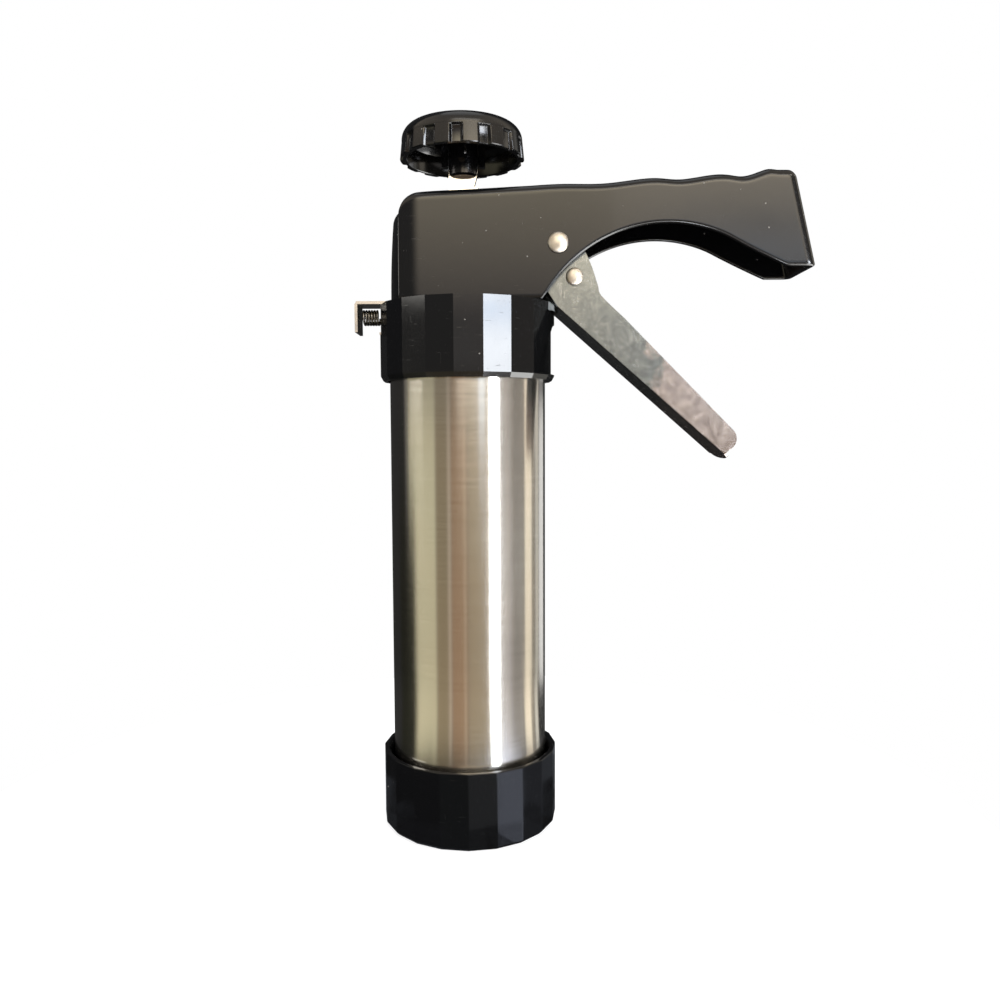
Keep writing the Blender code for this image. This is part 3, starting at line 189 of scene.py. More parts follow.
LINK_HEAD = (2.7, 1.2)


# ---------------------------------------------------------------- meshes

def settle(points):
    """Places in millimetres from the barrel's axis, in the frame's metres."""
    return (np.asarray(points, dtype=float) + (AXIS_X, 0, 0)) * MM


def grid_faces(rows, columns, round_rows, round_columns):
    """Quads (i, j), (i, j + 1), (i + 1, j + 1), (i + 1, j) over a grid, joined round where asked."""
    i, j = np.meshgrid(np.arange(rows if round_rows else rows - 1),
                       np.arange(columns if round_columns else columns - 1), indexing="ij")
    i, j = i.ravel(), j.ravel()
    i2, j2 = (i + 1) % rows, (j + 1) % columns
    return np.stack([i * columns + j, i * columns + j2, i2 * columns + j2, i2 * columns + j], axis=1)


def put(name, data):
    """A new object in the scene."""
    made = bpy.data.objects.new(name, data)
    bpy.context.scene.collection.objects.link(made)
    return made


def clean_mesh(mesh, merge, outwards=False):
    """Merges a mesh's doubles within a distance in metres, drops faces without area, and turns the
    faces outwards where asked."""
    work = bmesh.new()
    work.from_mesh(mesh)
    bmesh.ops.remove_doubles(work, verts=work.verts, dist=merge)
    bmesh.ops.dissolve_degenerate(work, edges=work.edges, dist=merge)
    if outwards:
        bmesh.ops.recalc_face_normals(work, faces=work.faces)
    work.to_mesh(mesh)
    work.free()


def piece_of(name, points, faces, smooth=True):
    """One object from places in millimetres and quads, its doubles merged and its faces outwards."""
    mesh = bpy.data.meshes.new(name)
    mesh.from_pydata(settle(points.reshape(-1, 3)).tolist(), [], faces.tolist())
    clean_mesh(mesh, 0.0000002, outwards=True)
    mesh.shade_smooth() if smooth else mesh.shade_flat()
    return put(name, mesh)


def grid_piece(name, points, round_rows=False, round_columns=False):
    """A piece from a (rows, columns, 3) array of places."""
    return piece_of(name, points, grid_faces(points.shape[0], points.shape[1], round_rows, round_columns))


def round_edges(piece, width, angle=25, segments=2):
    """Small rounds along the sharp edges, so that they catch the light as moulded edges do."""
    bevel = piece.modifiers.new("edges", "BEVEL")
    bevel.width = width * MM
    bevel.segments = segments
    bevel.limit_method = "ANGLE"
    bevel.angle_limit = radians(angle)
    bevel.harden_normals = True
    bevel.miter_outer = "MITER_ARC"
    return piece


def sharpen(piece, angle=30):
    """Smooth shading that breaks at edges steeper than angle."""
    piece.data.set_sharp_from_angle(angle=radians(angle))
    return piece


def carve(piece, cutters, operation="DIFFERENCE"):
    """Cuts (or joins) the cutters into the piece's mesh, and removes them."""
    for cutter in cutters:
        step = piece.modifiers.new("cut", "BOOLEAN")
        step.object = cutter
        step.operation = operation
        step.solver = "EXACT"
        shown = piece.evaluated_get(bpy.context.evaluated_depsgraph_get())
        mesh = bpy.data.meshes.new_from_object(shown)
        piece.modifiers.remove(step)
        old = piece.data
        piece.data = mesh
        mesh.name = piece.name
        bpy.data.meshes.remove(old)
        bpy.data.objects.remove(cutter)
    clean_mesh(piece.data, 0.000001)
    return piece


def turned(name, profile, steps, centre=(0, 0), closed=True, axis="z", middle=0.0):
    """A profile of (radius, height) carried round an axis: x = r cos(t), y = r sin(t), z = height.

    A pivot's axis lies along y: there x = cx + r cos(t), z = cz + r sin(t), y = middle + height.
    """
    profile = np.asarray(profile, dtype=float)
    turn = 2 * pi * np.arange(steps) / steps
    r = profile[:, 0][:, None]
    along = np.broadcast_to(profile[:, 1][:, None], (len(profile), steps))
    first = centre[0] + r * np.cos(turn)
    second = centre[1] + r * np.sin(turn)
    if axis == "z":
        points = np.stack([first, second, along], axis=-1)
    else:
        points = np.stack([first, middle + along, second], axis=-1)
    return grid_piece(name, points, round_rows=closed, round_columns=True)


def box_cutter(low, high):
    """A plain block between two corners, used only to cut."""
    x, y, z = zip(low, high)
    corners = np.array([(x[i], y[j], z[k]) for i in (0, 1) for j in (0, 1) for k in (0, 1)], float)
    quads = np.array([(0, 1, 3, 2), (4, 6, 7, 5), (0, 4, 5, 1), (2, 3, 7, 6), (0, 2, 6, 4), (1, 5, 7, 3)])
    return piece_of("cutter", corners, quads, smooth=False)


def rod_room(low, high):
    """A cutter round the rod's section, with its clearance, between two heights."""
    wide, deep = ROD_HALF_WIDTH + CLEAR, ROD_HALF_SHEET + CLEAR
    return box_cutter((ROD_X - wide, -deep, low), (ROD_X + wide, deep, high))


def arc_points(centre, radius, start, end, count):
    """Points on an arc: centre + radius (cos a, sin a), with a from start to end."""
    a = np.linspace(start, end, count)
    return np.stack([centre[0] + radius * np.cos(a), centre[1] + radius * np.sin(a)], axis=1)


def smooth_curve(points, between):
    """Catmull-Rom curve through the points, with `between` steps from each to the next."""
    p = np.asarray([points[0]] + list(points) + [points[-1]], dtype=float)
    t = (np.arange(between) / between)[None, :, None]
    a, b, c, d = (p[k:len(p) - 3 + k, None, :] for k in range(4))
    curve = 0.5 * (2 * b + (c - a) * t + (2 * a - 5 * b + 4 * c - d) * t ** 2
                   + (3 * b - a - 3 * c + d) * t ** 3)
    return np.vstack([curve.reshape(-1, 2), p[-1:]])


def tube_piece(name, path, radius, sides=12):
    """A round wire along a path: path + radius (normal cos a + binormal sin a), with closed ends."""
    path = np.asarray(path, dtype=float)
    along = np.gradient(path, axis=0)
    along /= np.linalg.norm(along, axis=1)[:, None]
    side = np.cross(along, (0.31, 0.87, 0.38))
    side /= np.linalg.norm(side, axis=1)[:, None]
    other = np.cross(along, side)
    a = 2 * pi * np.arange(sides) / sides
    ring = side[:, None] * np.cos(a)[None, :, None] + other[:, None] * np.sin(a)[None, :, None]
    points = path[:, None] + radius * ring
    first = np.broadcast_to(path[0], (1, sides, 3))
    last = np.broadcast_to(path[-1], (1, sides, 3))
    return grid_piece(name, np.concatenate([first, points, last]), round_columns=True)


# ---------------------------------------------------------------- materials

def material(name, colour, roughness, metallic=0.0):
    """A Principled material with its even values on the sockets, and its node tree."""
    made = bpy.data.materials.new(name)
    made.use_nodes = True
    tree = made.node_tree
    shader = tree.nodes["Principled BSDF"]
    shader.inputs["Base Color"].default_value = (*colour, 1)
    shader.inputs["Roughness"].default_value = roughness
    shader.inputs["Metallic"].default_value = metallic
    return made, tree, shader


def node(tree, kind, **values):
    """A node with some of its own settings."""
    made = tree.nodes.new("ShaderNode" + kind)
    for key, value in values.items():
        setattr(made, key, value)
    return made


def stretched_noise(tree, scale, stretch, detail=4.0, roughness=0.6, offset=(0, 0, 0)):
    """Noise on the object's own coordinates, stretched by a Mapping node."""
    place = node(tree, "TexCoord")
    mapping = node(tree, "Mapping")
    mapping.inputs["Scale"].default_value = stretch
    mapping.inputs["Location"].default_value = offset
    noise = node(tree, "TexNoise")
    noise.inputs["Scale"].default_value = scale
    noise.inputs["Detail"].default_value = detail
    noise.inputs["Roughness"].default_value = roughness
    tree.links.new(place.outputs["Object"], mapping.inputs["Vector"])
    tree.links.new(mapping.outputs["Vector"], noise.inputs["Vector"])
    return noise.outputs["Fac"]


def between(tree, value, low, high, out_low=0.0, out_high=1.0):
    """Maps value from low..high to out_low..out_high, and holds it there."""
    ramp = node(tree, "MapRange")
    ramp.inputs["From Min"].default_value = low
    ramp.inputs["From Max"].default_value = high
    ramp.inputs["To Min"].default_value = out_low
    ramp.inputs["To Max"].default_value = out_high
    tree.links.new(value, ramp.inputs["Value"])
    return ramp.outputs["Result"]


def feed(tree, socket, value):
    """Leads a value to a socket, or writes a number or a colour on it."""
    if hasattr(value, "links"):
        tree.links.new(value, socket)
    else:
        socket.default_value = (*value, 1) if isinstance(value, tuple) else value


def reckon(tree, operation, first, second):
    """One sum on two values, each a socket or a number."""
    made = node(tree, "Math", operation=operation)
    feed(tree, made.inputs[0], first)
    feed(tree, made.inputs[1], second)
    return made.outputs[0]


def blend_colour(tree, share, first, second):
    """A mix of two colours by a share between 0 and 1."""
    mix = node(tree, "Mix", data_type="RGBA")
    for number, value in ((0, share), (6, first), (7, second)):
        feed(tree, mix.inputs[number], value)
    return mix.outputs[2]


def paint(tree, shader, colour, rough):
    """Leads a patterned colour and roughness to the shader."""
    feed(tree, shader.inputs["Base Color"], colour)
    feed(tree, shader.inputs["Roughness"], rough)


def raise_surface(tree, shader, height, depth):
    """A bump of the given depth in millimetres."""
    bump = node(tree, "Bump")
    bump.inputs["Distance"].default_value = depth * MM
    tree.links.new(height, bump.inputs["Height"])
    tree.links.new(bump.outputs["Normal"], shader.inputs["Normal"])


def gloss_black(name, roughness=0.13, dusty=0.58):
    """Glossy moulded plastic: fine hairline scratches, soft unevenness, and specks of dust where a
    coarse noise is over dusty."""
    black = (0.0045, 0.0045, 0.005)
    made, tree, shader = material(name, black, roughness)
    soft = stretched_noise(tree, 60, (1, 1, 1), 3)
    hair_a = stretched_noise(tree, 55, (3, 3, 60), 5, 0.7)
    hair_b = stretched_noise(tree, 40, (50, 8, 6), 5, 0.7, (0.3, 0.1, 0.2))
    lines = reckon(tree, "MAXIMUM", between(tree, hair_a, 0.66, 0.72), between(tree, hair_b, 0.67, 0.73))
    dust = node(tree, "TexVoronoi")
    dust.inputs["Scale"].default_value = 330
    place = node(tree, "TexCoord")
    tree.links.new(place.outputs["Object"], dust.inputs["Vector"])
    few = stretched_noise(tree, 240, (1, 1, 1), 1, 0.5, (0.7, 0.2, 0.4))
    speck = reckon(tree, "MULTIPLY", between(tree, dust.outputs["Distance"], 0.11, 0.05),
                   between(tree, few, dusty, dusty + 0.04))
    rough = between(tree, soft, 0.3, 0.75, roughness * 0.8, roughness * 1.35)
    rough = reckon(tree, "ADD", rough, reckon(tree, "MULTIPLY", lines, 0.16))
    rough = reckon(tree, "ADD", rough, reckon(tree, "MULTIPLY", speck, 0.5))
    specked = blend_colour(tree, speck, black, (0.24, 0.23, 0.21))
    faint = reckon(tree, "MULTIPLY", lines, 0.25)
    paint(tree, shader, blend_colour(tree, faint, specked, (0.10, 0.10, 0.10)), rough)
    raise_surface(tree, shader, reckon(tree, "SUBTRACT", soft, faint), 0.02)
    return made


def brushed_round(name):
    """Steel brushed round its axis: fine lines at each height, with faint long marks and specks."""
    made, tree, shader = material(name, (0.62, 0.60, 0.56), 0.19, 1.0)
    shader.inputs["Anisotropic"].default_value = 0.8
    shader.inputs["Anisotropic Rotation"].default_value = 0.25
    tangent = node(tree, "Tangent", direction_type="RADIAL", axis="Z")
    tree.links.new(tangent.outputs["Tangent"], shader.inputs["Tangent"])
    fine = stretched_noise(tree, 90, (1, 1, 30), 6, 0.75)
    coarse = stretched_noise(tree, 24, (1, 1, 40), 4, 0.6, (0.2, 0.5, 0.1))
    cloud = stretched_noise(tree, 45, (1, 1, 0.6), 3, 0.5, (0.1, 0.9, 0.3))
    marks = between(tree, stretched_noise(tree, 260, (1, 1, 9), 3, 0.6, (0.4, 0.2, 0.8)), 0.70, 0.76)
    both = reckon(tree, "ADD", reckon(tree, "MULTIPLY", fine, 0.7), reckon(tree, "MULTIPLY", coarse, 0.3))
    grain = between(tree, both, 0.32, 0.68)
    steel = blend_colour(tree, grain, (0.58, 0.56, 0.52), (0.68, 0.66, 0.62))
    warm = blend_colour(tree, between(tree, cloud, 0.35, 0.7, 0, 0.5), steel, (0.70, 0.64, 0.58))
    paint(tree, shader, blend_colour(tree, reckon(tree, "MULTIPLY", marks, 0.35), warm, (0.30, 0.28, 0.25)),
          between(tree, both, 0.3, 0.7, 0.16, 0.22))
    raise_surface(tree, shader, fine, 0.0007)
    return made


def scuffed_steel(name):
    """Satin sheet steel with cloudy scuffs and crossed hairlines, darker grey near the pivot and lighter
    and pinkish towards the lever's end, past a wavy edge."""
    made, tree, shader = material(name, (0.42, 0.41, 0.39), 0.30, 1.0)
    cloud = stretched_noise(tree, 420, (1, 1, 1), 6, 0.7)
    patch = stretched_noise(tree, 60, (1, 1, 1), 4, 0.6, (0.5, 0.3, 0.9))
    fall = stretched_noise(tree, 130, (14, 1, 1.6), 5, 0.7, (0.1, 0.2, 0.6))
    cross = stretched_noise(tree, 130, (2, 1, 16), 5, 0.7, (0.6, 0.8, 0.2))
    hair = reckon(tree, "MAXIMUM", between(tree, fall, 0.60, 0.70), between(tree, cross, 0.60, 0.70))
    place = node(tree, "SeparateXYZ")
    tree.links.new(node(tree, "TexCoord").outputs["Object"], place.inputs[0])
    wavy = reckon(tree, "ADD", place.outputs["X"], between(tree, patch, 0.3, 0.7, -0.008, 0.008))
    cloudy = between(tree, cloud, 0.3, 0.7)
    grey = blend_colour(tree, cloudy, (0.19, 0.205, 0.205), (0.27, 0.285, 0.28))
    # The lever's end is coloured lighter and pinkish, past a wavy edge at the given x
    pinkish_end = blend_colour(tree, cloudy, (0.36, 0.31, 0.295), (0.52, 0.455, 0.43))
    edge = (WORN_START + AXIS_X) * MM
    warm = blend_colour(tree, between(tree, wavy, edge, edge + 4 * MM), grey, pinkish_end)
    paint(tree, shader, blend_colour(tree, reckon(tree, "MULTIPLY", hair, 0.24), warm, (0.86, 0.85, 0.82)),
          reckon(tree, "SUBTRACT", between(tree, cloud, 0.3, 0.7, 0.20, 0.28),
                 reckon(tree, "MULTIPLY", hair, 0.10)))
    raise_surface(tree, shader, reckon(tree, "SUBTRACT", cloud, reckon(tree, "MULTIPLY", hair, 0.6)), 0.006)
    return made


def plated(name, colour=(0.78, 0.74, 0.68), roughness=0.16):
    """Nickel plate: nearly a mirror, with soft unevenness and faint wear."""
    made, tree, shader = material(name, colour, roughness, 1.0)
    soft = stretched_noise(tree, 320, (1, 1, 1), 4, 0.6)
    wear = stretched_noise(tree, 900, (1, 1, 1), 3, 0.6, (0.3, 0.3, 0.7))
    dark = tuple(0.80 * value for value in colour)
    paint(tree, shader, blend_colour(tree, between(tree, wear, 0.55, 0.75), colour, dark),
          between(tree, soft, 0.3, 0.7, roughness * 0.7, roughness * 1.5))
    raise_surface(tree, shader, soft, 0.02)
    return made


def drawn_wire(name):
    """Dark spring wire with drawing lines and an oily sheen."""
    made, tree, shader = material(name, (0.20, 0.20, 0.20), 0.3, 1.0)
    lines = stretched_noise(tree, 900, (0.4, 1, 1), 3, 0.6)
    shade = blend_colour(tree, between(tree, lines, 0.3, 0.7), (0.10, 0.10, 0.10), (0.30, 0.29, 0.28))
    paint(tree, shader, shade, between(tree, lines, 0.3, 0.7, 0.2, 0.4))
    return made


def pale_rubber(name, colour, roughness):
    """Matt moulded silicone or plastic with a fine soft grain."""
    made, tree, shader = material(name, colour, roughness)
    grain = stretched_noise(tree, 900, (1, 1, 1), 3)
    cloud = stretched_noise(tree, 60, (1, 1, 1), 2, 0.5, (0.2, 0.1, 0.6))
    darker = tuple(0.9 * value for value in colour)
    paint(tree, shader, blend_colour(tree, between(tree, cloud, 0.3, 0.7), colour, darker),
          between(tree, grain, 0.3, 0.7, roughness * 0.85, roughness * 1.15))
    raise_surface(tree, shader, grain, 0.01)
    return made


HEAD_BLACK = gloss_black("black_head_plastic")
RING_BLACK = gloss_black("black_ring_plastic", roughness=0.10, dusty=0.66)
KNOB_BLACK = gloss_black("black_knob_plastic", roughness=0.16)
BARREL_STEEL = brushed_round("brushed_barrel_steel")
LEVER_STEEL = scuffed_steel("scuffed_lever_steel")
NICKEL = plated("nickel_plate")
RIVET = plated("rivet_plate", (0.60, 0.55, 0.48), 0.42)
BRIGHT = plated("bright_rod_plate", (0.82, 0.81, 0.79), 0.12)
WIRE = drawn_wire("dark_spring_wire")
SILICONE = pale_rubber("pale_silicone", (0.70, 0.71, 0.70), 0.5)
WHITE = pale_rubber("white_plastic", (0.78, 0.78, 0.76), 0.4)


def finish(piece, look, body, slot, *nodes):
    """Gives a piece its material and its body, and hides the CAD nodes that it stands for. The slot argument
    is not used.
    """
    piece.data.materials.clear()
    piece.data.materials.append(look)
    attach(piece, body)
    if nodes:
        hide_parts(*nodes)
    return piece


# ---------------------------------------------------------------- barrel, collar and cap

def flat_share(turn, phase):
    """Reach of a flat-sided outline over its corner radius: cos(pi / flats) / cos(d), where d is the
    angle from the middle of the nearest flat."""
    step = 2 * pi / FLATS
    off = (turn - phase + step / 2) % step - step / 2
    return cos(step / 2) / np.cos(off)


def flat_sided(name, profile, phase, per_flat=4):
    """A profile of (radius, height, share) carried round: a share of 1 gives flats, 0 a circle."""
    profile = np.asarray(profile, dtype=float)
    steps = FLATS * per_flat
    turn = phase - pi / FLATS + 2 * pi * np.arange(steps) / steps
    reach = flat_share(turn, phase)[None, :]
    share = profile[:, 2][:, None]
    r = profile[:, 0][:, None] * (1 - share + share * reach)
    z = np.broadcast_to(profile[:, 1][:, None], r.shape)
    points = np.stack([r * np.cos(turn), r * np.sin(turn), z], axis=-1)
    return grid_piece(name, points, round_rows=True, round_columns=True)


def barrel():
    """The tube: each wall's radius is even, and swells by a cosine hump at the two rolled beads."""
    low, high = BARREL_FOOT + BEAD_INSET, BARREL_TOP - BEAD_INSET
    hump = np.linspace(-1, 1, 9)
    rows = [(0.0, BARREL_FOOT)]
    for middle in (low, high):
        rows += [(BEAD_RISE * (1 + cos(pi * h)) / 2, middle + BEAD_HALF * h) for h in hump]
        if middle == low:
            rows += [(0.0, z) for z in np.linspace(low + 8, high - 8, 7)]
    rows.append((0.0, BARREL_TOP))
    outside = [(BARREL_RADIUS + rise, z) for rise, z in rows]
    inside = [(BARREL_RADIUS - BARREL_SHEET + rise, z) for rise, z in rows[::-1]]
    piece = turned("barrel_skin", outside + inside, 192)
    sharpen(piece)
    return finish(piece, BARREL_STEEL, "head", "brushed_barrel", "barrel")


def collar():
    """The faceted ring under the head, with the spring's notch and the arched recess by the lever."""
    profile = [(COLLAR_RADIUS - COLLAR_CHAMFER_IN, COLLAR_FOOT, 1),
               (COLLAR_RADIUS, COLLAR_FOOT + COLLAR_CHAMFER, 1),
               (COLLAR_RADIUS, COLLAR_TOP, 1), (4.0, COLLAR_TOP, 0), (4.0, COLLAR_TOP - COLLAR_PLATE, 0),
               (COLLAR_SHOULDER_RADIUS, COLLAR_TOP - COLLAR_PLATE, 0),
               (COLLAR_SHOULDER_RADIUS, COLLAR_SHOULDER, 0), (SOCKET_RADIUS, COLLAR_SHOULDER, 0),
               (SOCKET_RADIUS, COLLAR_FOOT, 0)]
    piece = flat_sided("collar_ring", profile, pi / FLATS + COLLAR_TURN)
    notch = box_cutter((-COLLAR_RADIUS - 1, -NOTCH_HALF, COLLAR_TOP - NOTCH_HEIGHT),
                       (-COLLAR_RADIUS + NOTCH_DEPTH, NOTCH_HALF, COLLAR_TOP + 1))
    carve(piece, [notch, rod_room(COLLAR_TOP - 5, COLLAR_TOP + 1), arch_cutter()])
    round_edges(piece, 0.22, 12)
    return finish(piece, RING_BLACK, "head", "black_plastic", "barrel_collar")


def arch_cutter():
    """The recess: y = half cos(a), z = foot + height sin(a), between the recess's radius and beyond
    the collar, so that its floor is a part of a round wall."""
    a = np.linspace(0, pi, 33)
    y = ARCH_HALF * np.cos(a)
    top = COLLAR_FOOT + ARCH_FOOT + ARCH_HEIGHT * np.sin(a)
    base = np.full_like(a, COLLAR_FOOT + ARCH_FOOT)
    inner = np.sqrt(ARCH_RADIUS ** 2 - y ** 2)
    outer = np.full_like(a, COLLAR_RADIUS + 4)
    rows = [np.stack([inner, y, base], 1), np.stack([outer, y, base], 1),
            np.stack([outer, y, top], 1), np.stack([inner, y, top], 1)]
    return grid_piece("arch_cutter", np.array(rows), round_rows=True)


def cap():
    """The faceted end cap: flats outside, a round socket, a floor round the mouth, and a soft lip."""
    profile = [(CAP_MOUTH, 0, 0), (CAP_RADIUS - CAP_CHAMFER, 0, 1), (CAP_RADIUS, CAP_CHAMFER, 1),
               (CAP_RADIUS, CAP_HEIGHT, 1), (SOCKET_RADIUS + CAP_LIP, CAP_HEIGHT, 0),
               (SOCKET_RADIUS, CAP_HEIGHT - CAP_LIP_DEPTH, 0), (SOCKET_RADIUS, CAP_FLOOR, 0),
               (CAP_MOUTH, CAP_FLOOR, 0)]
    piece = flat_sided("cap_ring", profile, pi / FLATS + CAP_TURN)
    round_edges(piece, 0.25, 12)
    return finish(piece, RING_BLACK, "cap", "black_plastic", "end_cap")


# ---------------------------------------------------------------- head and handle

def top_height(x):
    """Height of the head's top line: a smooth curve through named shares of its reach and height."""
    curve = smooth_curve([(HANDLE_REACH * a, HEAD_BASE + HEAD_HEIGHT * b) for a, b in TOP_LINE], 8)
    return np.interp(x, curve[:, 0], curve[:, 1])


def head_crown(x):
    """The top line as it shows on the moulding: held level at its ends, and raised towards the tip."""
    return top_height(np.clip(x, *TOP_SPAN)) + np.interp(x, *TOP_RAISE)


def under_height(x):
    """Height of the lower edge: the flat base, then the arc under the handle, then its straight run."""
    across = np.clip(np.abs(x - ARC_X), 0, ARC_RADIUS)
    arc = HEAD_BASE - ARC_DROP + np.sqrt(ARC_RADIUS ** 2 - across ** 2)
    base_x = ARC_X - sqrt(ARC_RADIUS ** 2 - ARC_DROP ** 2)
    end_x = ARC_X + ARC_RADIUS * sin(GRIP_SLOPE)
    end_z = HEAD_BASE - ARC_DROP + ARC_RADIUS * cos(GRIP_SLOPE)
    slope = end_z - (np.minimum(x, HANDLE_REACH - TIP_WIDTH) - end_x) * tan(GRIP_SLOPE)
    return np.where(x < base_x, HEAD_BASE, np.where(x < end_x, arc, slope))


def head_plan(inset):
    """Half of the plan outline, from the tip's middle round to the left end's middle: the tip with
    its round corner, the side that tapers to the tip, its gentle bend on the left, the crisp corner
    between bend and end, and the round end. The corner's centre lies where two circles cross, about
    the bend's centre and about the barrel's axis, each less the corner's radius."""
    half, radius, bend = HEAD_HALF - inset, HEAD_END_RADIUS - inset, BEND_RADIUS - inset
    crisp = max(HEAD_CORNER - inset, 0.25)
    bend_x, bend_y = BEND_START, HEAD_HALF - BEND_RADIUS
    apart = sqrt(bend_x ** 2 + bend_y ** 2)
    along = ((radius - crisp) ** 2 - (bend - crisp) ** 2 + apart ** 2) / (2 * apart)
    off = sqrt((radius - crisp) ** 2 - along ** 2)
    corner_x, corner_y = (along * bend_x + off * bend_y) / apart, (along * bend_y - off * bend_x) / apart
    bend_end = atan2(corner_y - bend_y, corner_x - bend_x)
    end_start = atan2(corner_y, corner_x)
    tip_x, tip_half = HANDLE_REACH - inset, TIP_HALF - inset
    corner = max(TIP_CORNER - inset, 0.8)
    tip = [(tip_x, y) for y in np.linspace(0, tip_half - corner - 0.4, 6)]
    round_tip = arc_points((tip_x - corner, tip_half - corner), corner, 0, pi / 2, 9)
    xs = np.concatenate([[tip_x - corner - 0.5], np.linspace(tip_x - corner, TAPER_START, 66)[1:],
                         np.linspace(TAPER_START, bend_x + 0.5, 36)[1:]])
    taper = np.clip((xs - TAPER_START) / (HANDLE_REACH - TAPER_START), 0, 1)
    side = np.stack([xs, half - (HEAD_HALF - TIP_HALF) * taper], 1)
    bent = arc_points((bend_x, bend_y), bend, pi / 2, bend_end, 16)
    corner_arc = arc_points((corner_x, corner_y), crisp, bend_end, end_start, 7)[1:-1]
    end = arc_points((0, 0), radius, end_start, pi, 17)
    return np.vstack([tip, round_tip, side, bent, corner_arc, end])


def inward(plan):
    """Unit direction at right angles to the plan outline, towards its inside."""
    along = np.gradient(plan, axis=0)
    across = np.stack([-along[:, 1], along[:, 0]], 1)
    across[0], across[-1] = (-1, 0), (1, 0)
    return across / np.linalg.norm(across, axis=1)[:, None]


def head_shell():
    """The outside and inside of the moulded head as two sheets of one grid, joined along the foot."""
    rows = np.concatenate([head_sheet(0.0)[::-1], head_sheet(HEAD_WALL)])
    mirrored = rows[:, ::-1] * (1, -1, 1)
    whole = np.concatenate([rows, mirrored[:, 1:-1]], axis=1)
    return grid_piece("head_shell", whole, round_columns=True)


def head_sheet(inset):
    """One sheet of the head. Each column starts at a place of the plan: a small round at the foot, the
    wall up to the top line less the round's radius, a quarter round inwards, and the top level to the
    spine y = 0. The face's upper left corner drops by a quarter ellipse, and the top rises from there to
    the spine by a cosine. With the share h of the height, the left end leans in by draft h^2.2 and the
    tip by lean h."""
    plan = head_plan(inset)
    x, y = plan[:, 0], plan[:, 1]
    pull = inward(plan)
    foot = under_height(x)
    spare = HEAD_ROUND - 0.8 * inset if inset else HEAD_ROUND
    corner = np.clip((BEND_START - 1.4 - x) / FACE_CORNER, 0, 1)
    drop = CORNER_DROP * (1 - np.sqrt(1 - corner ** 2))
    crown = head_crown(x) - inset - drop
    edge, way = (INNER_FOOT_ROUND, -1) if inset else (FOOT_ROUND, 1)
    rows = [np.stack([x + way * pull[:, 0] * edge * (1 - sin(a)), y + way * pull[:, 1] * edge * (1 - sin(a)),
                      foot + edge * (1 - cos(a))], 1) for a in np.linspace(0, pi / 2, 5)]
    for share in (0.03, 0.15, 0.3, 0.45, 0.6, 0.75, 0.88, 0.975, 1.0):
        rows.append(np.stack([x, y, foot + edge + (crown - spare - foot - edge) * share], 1))
    for a in np.linspace(0, pi / 2, 9)[1:]:
        move = spare * (1 - cos(a))
        rows.append(np.stack([x + pull[:, 0] * move, y + pull[:, 1] * move,
                              crown - spare * (1 - sin(a))], 1))
    last = rows[-1]
    for share in (0.05, 0.15, 0.3, 0.45, 0.6, 0.8, 1.0):
        px = last[:, 0] + (np.clip(x, -8, 96) - last[:, 0]) * share
        level = head_crown(px) - inset - drop * (1 + cos(pi * share)) / 2
        rows.append(np.stack([px, last[:, 1] * (1 - share), level], 1))
    sheet = np.array(rows)
    rise = np.clip((sheet[..., 2] - HEAD_BASE) / HEAD_HEIGHT, 0, 1)
    left = np.clip((END_START - sheet[..., 0]) / (HEAD_END_RADIUS + END_START), 0, 1)
    right = np.clip((sheet[..., 0] - 80) / 24, 0, 1)
    tip_foot = under_height(np.array([HANDLE_REACH]))[0]
    climb = np.clip((sheet[..., 2] - tip_foot) / (HEAD_TOP - tip_foot), 0, 1)
    sheet[..., 0] += left * rise ** 2.2 * HEAD_END_DRAFT - right * climb * TIP_LEAN
    return sheet


def head():
    """The head's shell, with its bosses and cuts."""
    piece = head_shell()
    boss = [(0, 0), (BOSS_RADIUS, 0), (BOSS_RADIUS, BOSS_LENGTH), (0, BOSS_LENGTH)]
    carve(piece, [turned("boss", boss, 40, PIVOT, False, "y", y) for y in (BOSS_BACK, BOSS_FRONT)], "UNION")
    bore = turned("bore", [(0, -20), (PIVOT_BORE, -20), (PIVOT_BORE, 20), (0, 20)], 32, PIVOT, False, "y", 0)
    slot = box_cutter((-40, -RELEASE_HALF - CLEAR, HEAD_BASE - 1),
                      (-HEAD_END_RADIUS / 2, RELEASE_HALF + CLEAR, HEAD_BASE + RELEASE_SHEET + CLEAR))
    carve(piece, [rod_room(HEAD_TOP - 20, HEAD_TOP + 2), bore, slot])
    sharpen(piece, 35)
    return finish(piece, HEAD_BLACK, "head", "black_plastic", "head_housing")


# ---------------------------------------------------------------- knob

